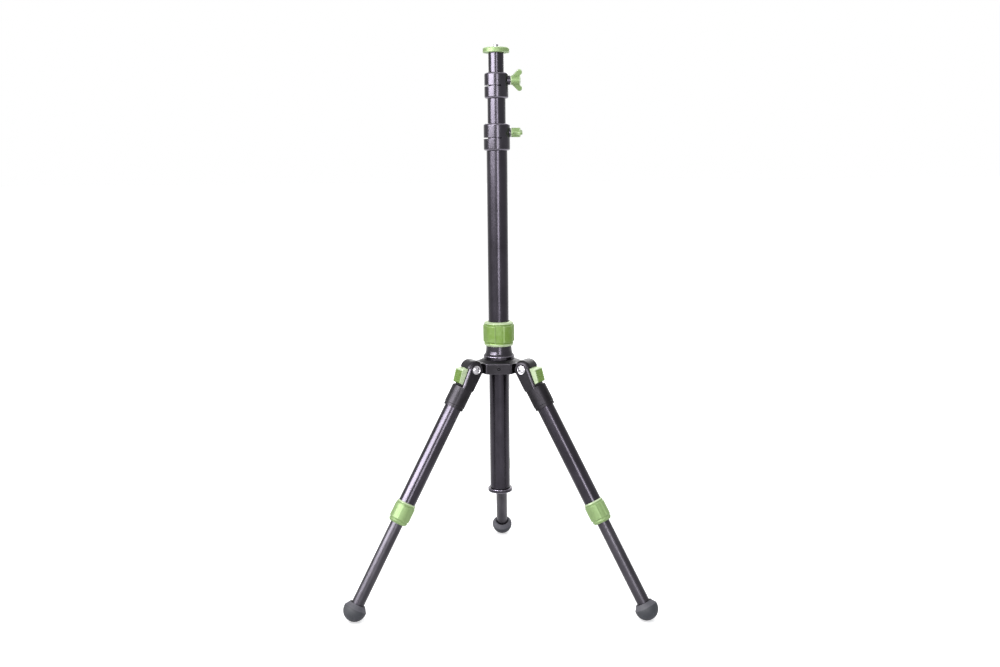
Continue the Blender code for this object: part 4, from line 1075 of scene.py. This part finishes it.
def foot(settings):
    """Rubber ball foot: a conical top with a groove round the tube, over a ball."""
    rim = FOOT_RIM
    floor = rim - 0.0112
    socket = settings.lower_radius + GAP
    ball = arc((0, -LEG_LENGTH), settings.foot_radius, -90, 9, 28)
    ball[0] = (0, -LEG_LENGTH - settings.foot_radius)
    top = softened([ball[-1], (0.0107, rim - 0.0014), (0.0101, rim), (0.0094, rim),
                    (0.0088, rim - 0.0014), (socket, rim - 0.0014), (socket, floor), (0, floor)],
                   0.0004, False)
    return turned([*ball[:-1], *top])


# ---- Operators ----


class TRIPOD_OT_finishes(bpy.types.Operator):
    """Make every finish and give it to the frame's own nodes"""

    bl_idname = "tripod.finishes"
    bl_label = "Finishes"

    def execute(self, context):
        slots = {part["node"]: part["material_slot"] for part in frame["record"]["subparts"]}
        tones = context.scene.tripod_finish
        for name, (maker, key, _) in FINISH_MAKERS.items():
            tone = tuple(getattr(tones, key))
            FINISHES[name] = maker(name, True, tone)
            if name in slots.values():
                FINISHES[name + "_frame"] = maker(name + "_frame", False, tone)
        for name, node in frame["nodes"].items():
            node.data.materials.clear()
            slot = "black_casting" if name == "hub_set_screw" else slots[name]
            node.data.materials.append(FINISHES[slot + "_frame"])
        return {"FINISHED"}


class TRIPOD_OT_column_tubes(bpy.types.Operator):
    """Add the three column tubes and the end cap"""

    bl_idname = "tripod.column_tubes"
    bl_label = "Column tubes"

    def execute(self, context):
        sizes = context.scene.tripod_column
        tubes = (
            ("column_outer_tube", sizes.outer_radius, sizes.outer_wall, "column"),
            ("mid_tube", sizes.mid_radius, sizes.mid_wall, "mid"),
            ("inner_tube", sizes.inner_radius, sizes.inner_wall, "inner"),
        )
        for node, radius, wall, body in tubes:
            shape = tube(radius, wall, node_low(node), node_high(node))
            add_piece(f"{node}_skin", shape, column_place(), "black_anodised", body, node)
        add_piece("end_cap_skin", end_cap(sizes), column_place(), "collar_casting", "column",
                  "column_end_cap")
        return {"FINISHED"}


class TRIPOD_OT_clamps(bpy.types.Operator):
    """Add both clamp collars and their wing screws"""

    bl_idname = "tripod.clamps"
    bl_label = "Clamps"

    def execute(self, context):
        sizes = context.scene.tripod_column
        radii = {"lower": (sizes.lower_collar, sizes.outer_radius, sizes.mid_radius),
                 "upper": (sizes.upper_collar, sizes.mid_radius, sizes.inner_radius)}
        knob = wing_screw()
        for name, body, turn in CLAMPS:
            node = f"{name}_clamp_collar"
            low = node_low(node)
            collar_r, tube_r, next_r = radii[name]
            shape = clamp_collar(collar_r, node_high(node) - low, tube_r, next_r, sizes)
            add_piece(f"{name}_collar_skin", shape, column_place(low), "collar_casting", body, node)
            height = frame_joint(f"{name}_wing")["pos_m"][2]
            place = column_place(height) @ shift(BOSS_END) @ rotation(90, "Y") @ rotation(turn, "Z")
            wing = f"{name}_wing"
            add_piece(f"{name}_knob", knob, place, "pale_anodised", wing, f"{wing}_screw")
        return {"FINISHED"}


class TRIPOD_OT_column_lock(bpy.types.Operator):
    """Add the column's twist lock and its flanged base"""

    bl_idname = "tripod.column_lock"
    bl_label = "Column lock"

    def execute(self, context):
        sizes = context.scene.tripod_column
        low, high = node_low("column_lock_ring"), node_high("column_lock_ring")
        # Bands at the lower lip and top ring are fully pale: a painted reflection of the floor below, and a
        # painted highlight on top.
        add_piece("column_grip", column_lock_ring(sizes, low), column_place(), "green_anodised",
                  "column_lock", "column_lock_ring", wear_and_highlight=0.3,
                  painted_light_zones=[(low - 0.001, low + 0.0032), (high - 0.0025, high + 0.001)])
        add_piece("lock_base_skin", column_lock_base(sizes), column_place(), "collar_casting", "hub",
                  "column_lock_base")
        return {"FINISHED"}


class TRIPOD_OT_hub(bpy.types.Operator):
    """Add the hub"""

    bl_idname = "tripod.hub"
    bl_label = "Hub"

    def execute(self, context):
        shape = hub(context.scene.tripod_column)
        add_piece("hub_skin", shape, column_place(), "black_casting", "hub", "hub_spider")
        return {"FINISHED"}


class TRIPOD_OT_head(bpy.types.Operator):
    """Add the head plate and its threaded stud"""

    bl_idname = "tripod.head"
    bl_label = "Head"

    def execute(self, context):
        sizes = context.scene.tripod_column
        # The band at the rim's top is fully pale: a painted highlight.
        add_piece("head_skin", head_plate(sizes), column_place(), "pale_anodised", "inner",
                  "head_plate", painted_light_zones=[(HEAD_TOP - 0.0011, HEAD_TOP)], wear_and_highlight=0.6)
        add_piece("stud_skin", stud(sizes), column_place(), "steel", "inner", "mount_stud")
        return {"FINISHED"}


class TRIPOD_OT_leg_joints(bpy.types.Operator):
    """Add each leg's shoulder, pivot heads, angle tab and spring"""

    bl_idname = "tripod.leg_joints"
    bl_label = "Leg joints"

    def execute(self, context):
        sizes = context.scene.tripod_leg
        fork = shoulder(sizes)
        tab = angle_tab(sizes)
        spring = as_mesh(tab_spring(), "spring")
        face = sizes.cheek_half + 0.0008
        barrel_end = sizes.cheek_half - 0.0021
        screw = crossed_head(sizes, 0.0013, barrel_end + GAP, face)
        nut = crossed_head(sizes, 0.0024, -barrel_end, face)
        lie, flip = rotation(-90, "X"), rotation(180, "X")
        for number in (1, 2, 3):
            place = leg_place(number)
            leg = f"leg_{number}"
            add_piece(f"{leg}_fork", fork, place, "black_casting", leg, f"{leg}_shoulder")
            add_piece(f"{leg}_tab_skin", tab, place, "tab_anodised", f"{leg}_tab", f"{leg}_angle_tab",
                      wear_and_highlight=0.0)
            add_piece(f"{leg}_screw_head", screw, place @ lie, "steel", leg, f"{leg}_pivot_screw")
            add_piece(f"{leg}_nut_head", nut, place @ lie @ flip, "steel", leg, f"{leg}_pivot_nut")
            coil = add_piece(f"{leg}_coil", spring, place, "steel", leg, f"{leg}_tab_spring")
            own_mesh(coil)
        return {"FINISHED"}


class TRIPOD_OT_leg_tubes(bpy.types.Operator):
    """Add each leg's tubes, twist lock and foot"""

    bl_idname = "tripod.leg_tubes"
    bl_label = "Leg tubes"

    def execute(self, context):
        sizes = context.scene.tripod_leg
        upper = tube(sizes.upper_radius, sizes.upper_wall, UPPER_TUBE_LOW, UPPER_TUBE_TOP)
        lower = tube(sizes.lower_radius, sizes.lower_wall, LOWER_TUBE_LOW, LOWER_TUBE_TOP)
        upper, lower = as_mesh(upper, "upper"), as_mesh(lower, "lower")
        ring = as_mesh(leg_lock_ring(sizes), "ring")
        ball = as_mesh(foot(sizes), "ball")
        for number in (1, 2, 3):
            place = leg_place(number)
            leg = f"leg_{number}"
            add_piece(f"{leg}_upper_skin", upper, place, "black_anodised", leg, f"{leg}_upper_tube")
            add_piece(f"{leg}_lower_skin", lower, place, "lower_anodised", f"{leg}_lower",
                      f"{leg}_lower_tube")
            # The band at the top ring is fully pale: a painted highlight.
            add_piece(f"{leg}_grip", ring, place, "pale_anodised", f"{leg}_lock", f"{leg}_lock_ring",
                      painted_light_zones=[(LOCK_TOP - 0.0016, LOCK_TOP + 0.001)], wear_and_highlight=0.3)
            add_piece(f"{leg}_ball", ball, place, "rubber", f"{leg}_lower", f"{leg}_foot")
        return {"FINISHED"}


STRIP_DISTANCE = 1.5
FLOOR_DROP = 0.0002


def area_lamp(name, place, target, width, height, power, tone):
    """A soft rectangular lamp aimed at a point."""
    lamp = bpy.data.lights.new(name, "AREA")
    lamp.shape = "RECTANGLE"
    lamp.size = width
    lamp.size_y = height
    lamp.energy = power
    lamp.color = tone
    thing = new_object(name, lamp)
    thing.location = place
    thing.rotation_euler = (Vector(target) - Vector(place)).to_track_quat("-Z", "Y").to_euler()
    return thing


def by_ray(tree, seen, other):
    """Choose a shader for what is seen, also through reflections and glass, and for other rays."""
    path = tree.nodes.new("ShaderNodeLightPath")
    chosen = other
    for ray in ("Is Camera Ray", "Is Glossy Ray", "Is Transmission Ray"):
        mix = tree.nodes.new("ShaderNodeMixShader")
        tree.links.new(path.outputs[ray], mix.inputs[0])
        tree.links.new(chosen, mix.inputs[1])
        tree.links.new(seen, mix.inputs[2])
        chosen = mix.outputs[0]
    return chosen


class TRIPOD_OT_stage(bpy.types.Operator):
    """Add the floor, the lamps, the world and the camera"""

    bl_idname = "tripod.stage"
    bl_label = "Stage"

    def execute(self, context):
        settings = context.scene.tripod_stage
        self.floor(settings.floor_size)
        self.world()
        self.lamps(settings.lamp_power)
        self.camera()
        context.scene.view_settings.view_transform = "Standard"
        return {"FINISHED"}

    def floor(self, side):
        """A pale floor that keeps the object's soft shadow."""
        shape = bmesh.new()
        bmesh.ops.create_grid(shape, x_segments=1, y_segments=1, size=side / 2)
        floor = new_object("floor", as_mesh(shape, "floor"))
        floor.location.z = -FLOOR_DROP
        material = bpy.data.materials.new("pale_floor")
        material.use_nodes = True
        tree = material.node_tree
        shader = tree.nodes["Principled BSDF"]
        matt = {"Base Color": (0.92, 0.92, 0.93, 1), "Roughness": 0.9, "Specular IOR Level": 0.1}
        for name, value in matt.items():
            shader.inputs[name].default_value = value
        glow = tree.nodes.new("ShaderNodeEmission")
        glow.inputs["Color"].default_value = (1, 1, 1, 1)
        glow.inputs["Strength"].default_value = 0.56
        total = tree.nodes.new("ShaderNodeAddShader")
        tree.links.new(shader.outputs[0], total.inputs[0])
        tree.links.new(glow.outputs[0], total.inputs[1])
        chosen = by_ray(tree, total.outputs[0], shader.outputs[0])
        tree.links.new(chosen, tree.nodes["Material Output"].inputs[0])
        floor.data.materials.append(material)

    def world(self):
        """White where it is seen, and dimmer even light for the rest."""
        world = bpy.data.worlds.new("studio")
        bpy.context.scene.world = world
        world.use_nodes = True
        tree = world.node_tree
        shades = []
        for strength in (1.0, 0.55):
            shade = tree.nodes.new("ShaderNodeBackground")
            shade.inputs["Color"].default_value = (1, 1, 1, 1)
            shade.inputs["Strength"].default_value = strength
            shades.append(shade.outputs[0])
        tree.links.new(by_ray(tree, *shades), tree.nodes["World Output"].inputs[0])

    def lamps(self, power):
        """Broad even lamps, and tall strips that only reflections see."""
        middle = (0, COLUMN_Y, 0.33)
        area_lamp("front", (-0.75, -1.25, 1.60), middle, 1.0, 0.8, power, (0.97, 0.96, 1.0))
        area_lamp("back", (0.3, 1.7, 1.2), middle, 1.4, 0.9, power, (1, 1, 1))
        area_lamp("top", (-0.1, -0.2, 2.6), middle, 1.4, 1.4, power, (1, 1, 1))
        strips = (("strip_left", -50, 1.5, 0.5, 0.93, 6.8), ("strip_near", 9, 0.28, 0.7, 0.55, 1.1))
        for name, angle, width, height, middle_z, share in strips:
            turn = math.radians(angle)
            target = (0, COLUMN_Y, middle_z)
            place = (STRIP_DISTANCE * math.sin(turn), COLUMN_Y - STRIP_DISTANCE * math.cos(turn),
                     middle_z)
            strip = area_lamp(name, place, target, width, height, power * share, (0.98, 0.97, 1.0))
            strip.visible_diffuse = False
            strip.visible_camera = False

    def camera(self):
        """The photograph's viewpoint: level with the column, a little above the middle."""
        pitch, roll, yaw = (math.radians(angle) for angle in (9.203, -0.550, -0.583))
        forward = Vector((math.sin(yaw) * math.cos(pitch), math.cos(yaw) * math.cos(pitch),
                          -math.sin(pitch)))
        level = Vector((math.cos(yaw), -math.sin(yaw), 0))
        upward = level.cross(forward)
        right = level * math.cos(roll) + upward * math.sin(roll)
        top = upward * math.cos(roll) - level * math.sin(roll)
        turn = Matrix((right, top, -forward)).transposed().to_4x4()
        camera = bpy.data.cameras.new("camera")
        camera.sensor_width = 36.0
        camera.lens = 37.564
        thing = new_object("camera", camera)
        thing.matrix_world = shift(0.014555, COLUMN_Y - 1.277334, 0.537992) @ turn
        bpy.context.scene.camera = thing


class TRIPOD_PT_panel(bpy.types.Panel):
    """Lists the tripod's pieces and settings"""

    bl_label = "Tripod"
    bl_idname = "TRIPOD_PT_panel"
    bl_space_type = "VIEW_3D"
    bl_region_type = "UI"
    bl_category = "Tripod"

    def draw(self, context):
        for operator in OPERATORS:
            self.layout.operator(operator.bl_idname)
        for group in ("tripod_column", "tripod_leg", "tripod_finish", "tripod_stage"):
            settings = getattr(context.scene, group)
            box = self.layout.box()
            for key in settings.__annotations__:
                box.prop(settings, key)


OPERATORS = (
    TRIPOD_OT_finishes,
    TRIPOD_OT_column_tubes,
    TRIPOD_OT_clamps,
    TRIPOD_OT_column_lock,
    TRIPOD_OT_hub,
    TRIPOD_OT_head,
    TRIPOD_OT_leg_joints,
    TRIPOD_OT_leg_tubes,
    TRIPOD_OT_stage,
)
SETTINGS = {
    "tripod_column": ColumnSettings,
    "tripod_leg": LegSettings,
    "tripod_finish": FinishSettings,
    "tripod_stage": StageSettings,
}


def register():
    for cls in (*SETTINGS.values(), *OPERATORS, TRIPOD_PT_panel):
        bpy.utils.register_class(cls)
    for name, group in SETTINGS.items():
        setattr(bpy.types.Scene, name, PointerProperty(type=group))


def unregister():
    for name in SETTINGS:
        delattr(bpy.types.Scene, name)
    for cls in (TRIPOD_PT_panel, *reversed(OPERATORS), *SETTINGS.values()):
        bpy.utils.unregister_class(cls)


def main():
    register()
    bpy.ops.tripod.finishes()
    bpy.ops.tripod.column_tubes()
    bpy.ops.tripod.clamps()
    bpy.ops.tripod.column_lock()
    bpy.ops.tripod.hub()
    bpy.ops.tripod.head()
    bpy.ops.tripod.leg_joints()
    bpy.ops.tripod.leg_tubes()
    bpy.ops.tripod.stage()


if __name__ == "__main__":
    main()
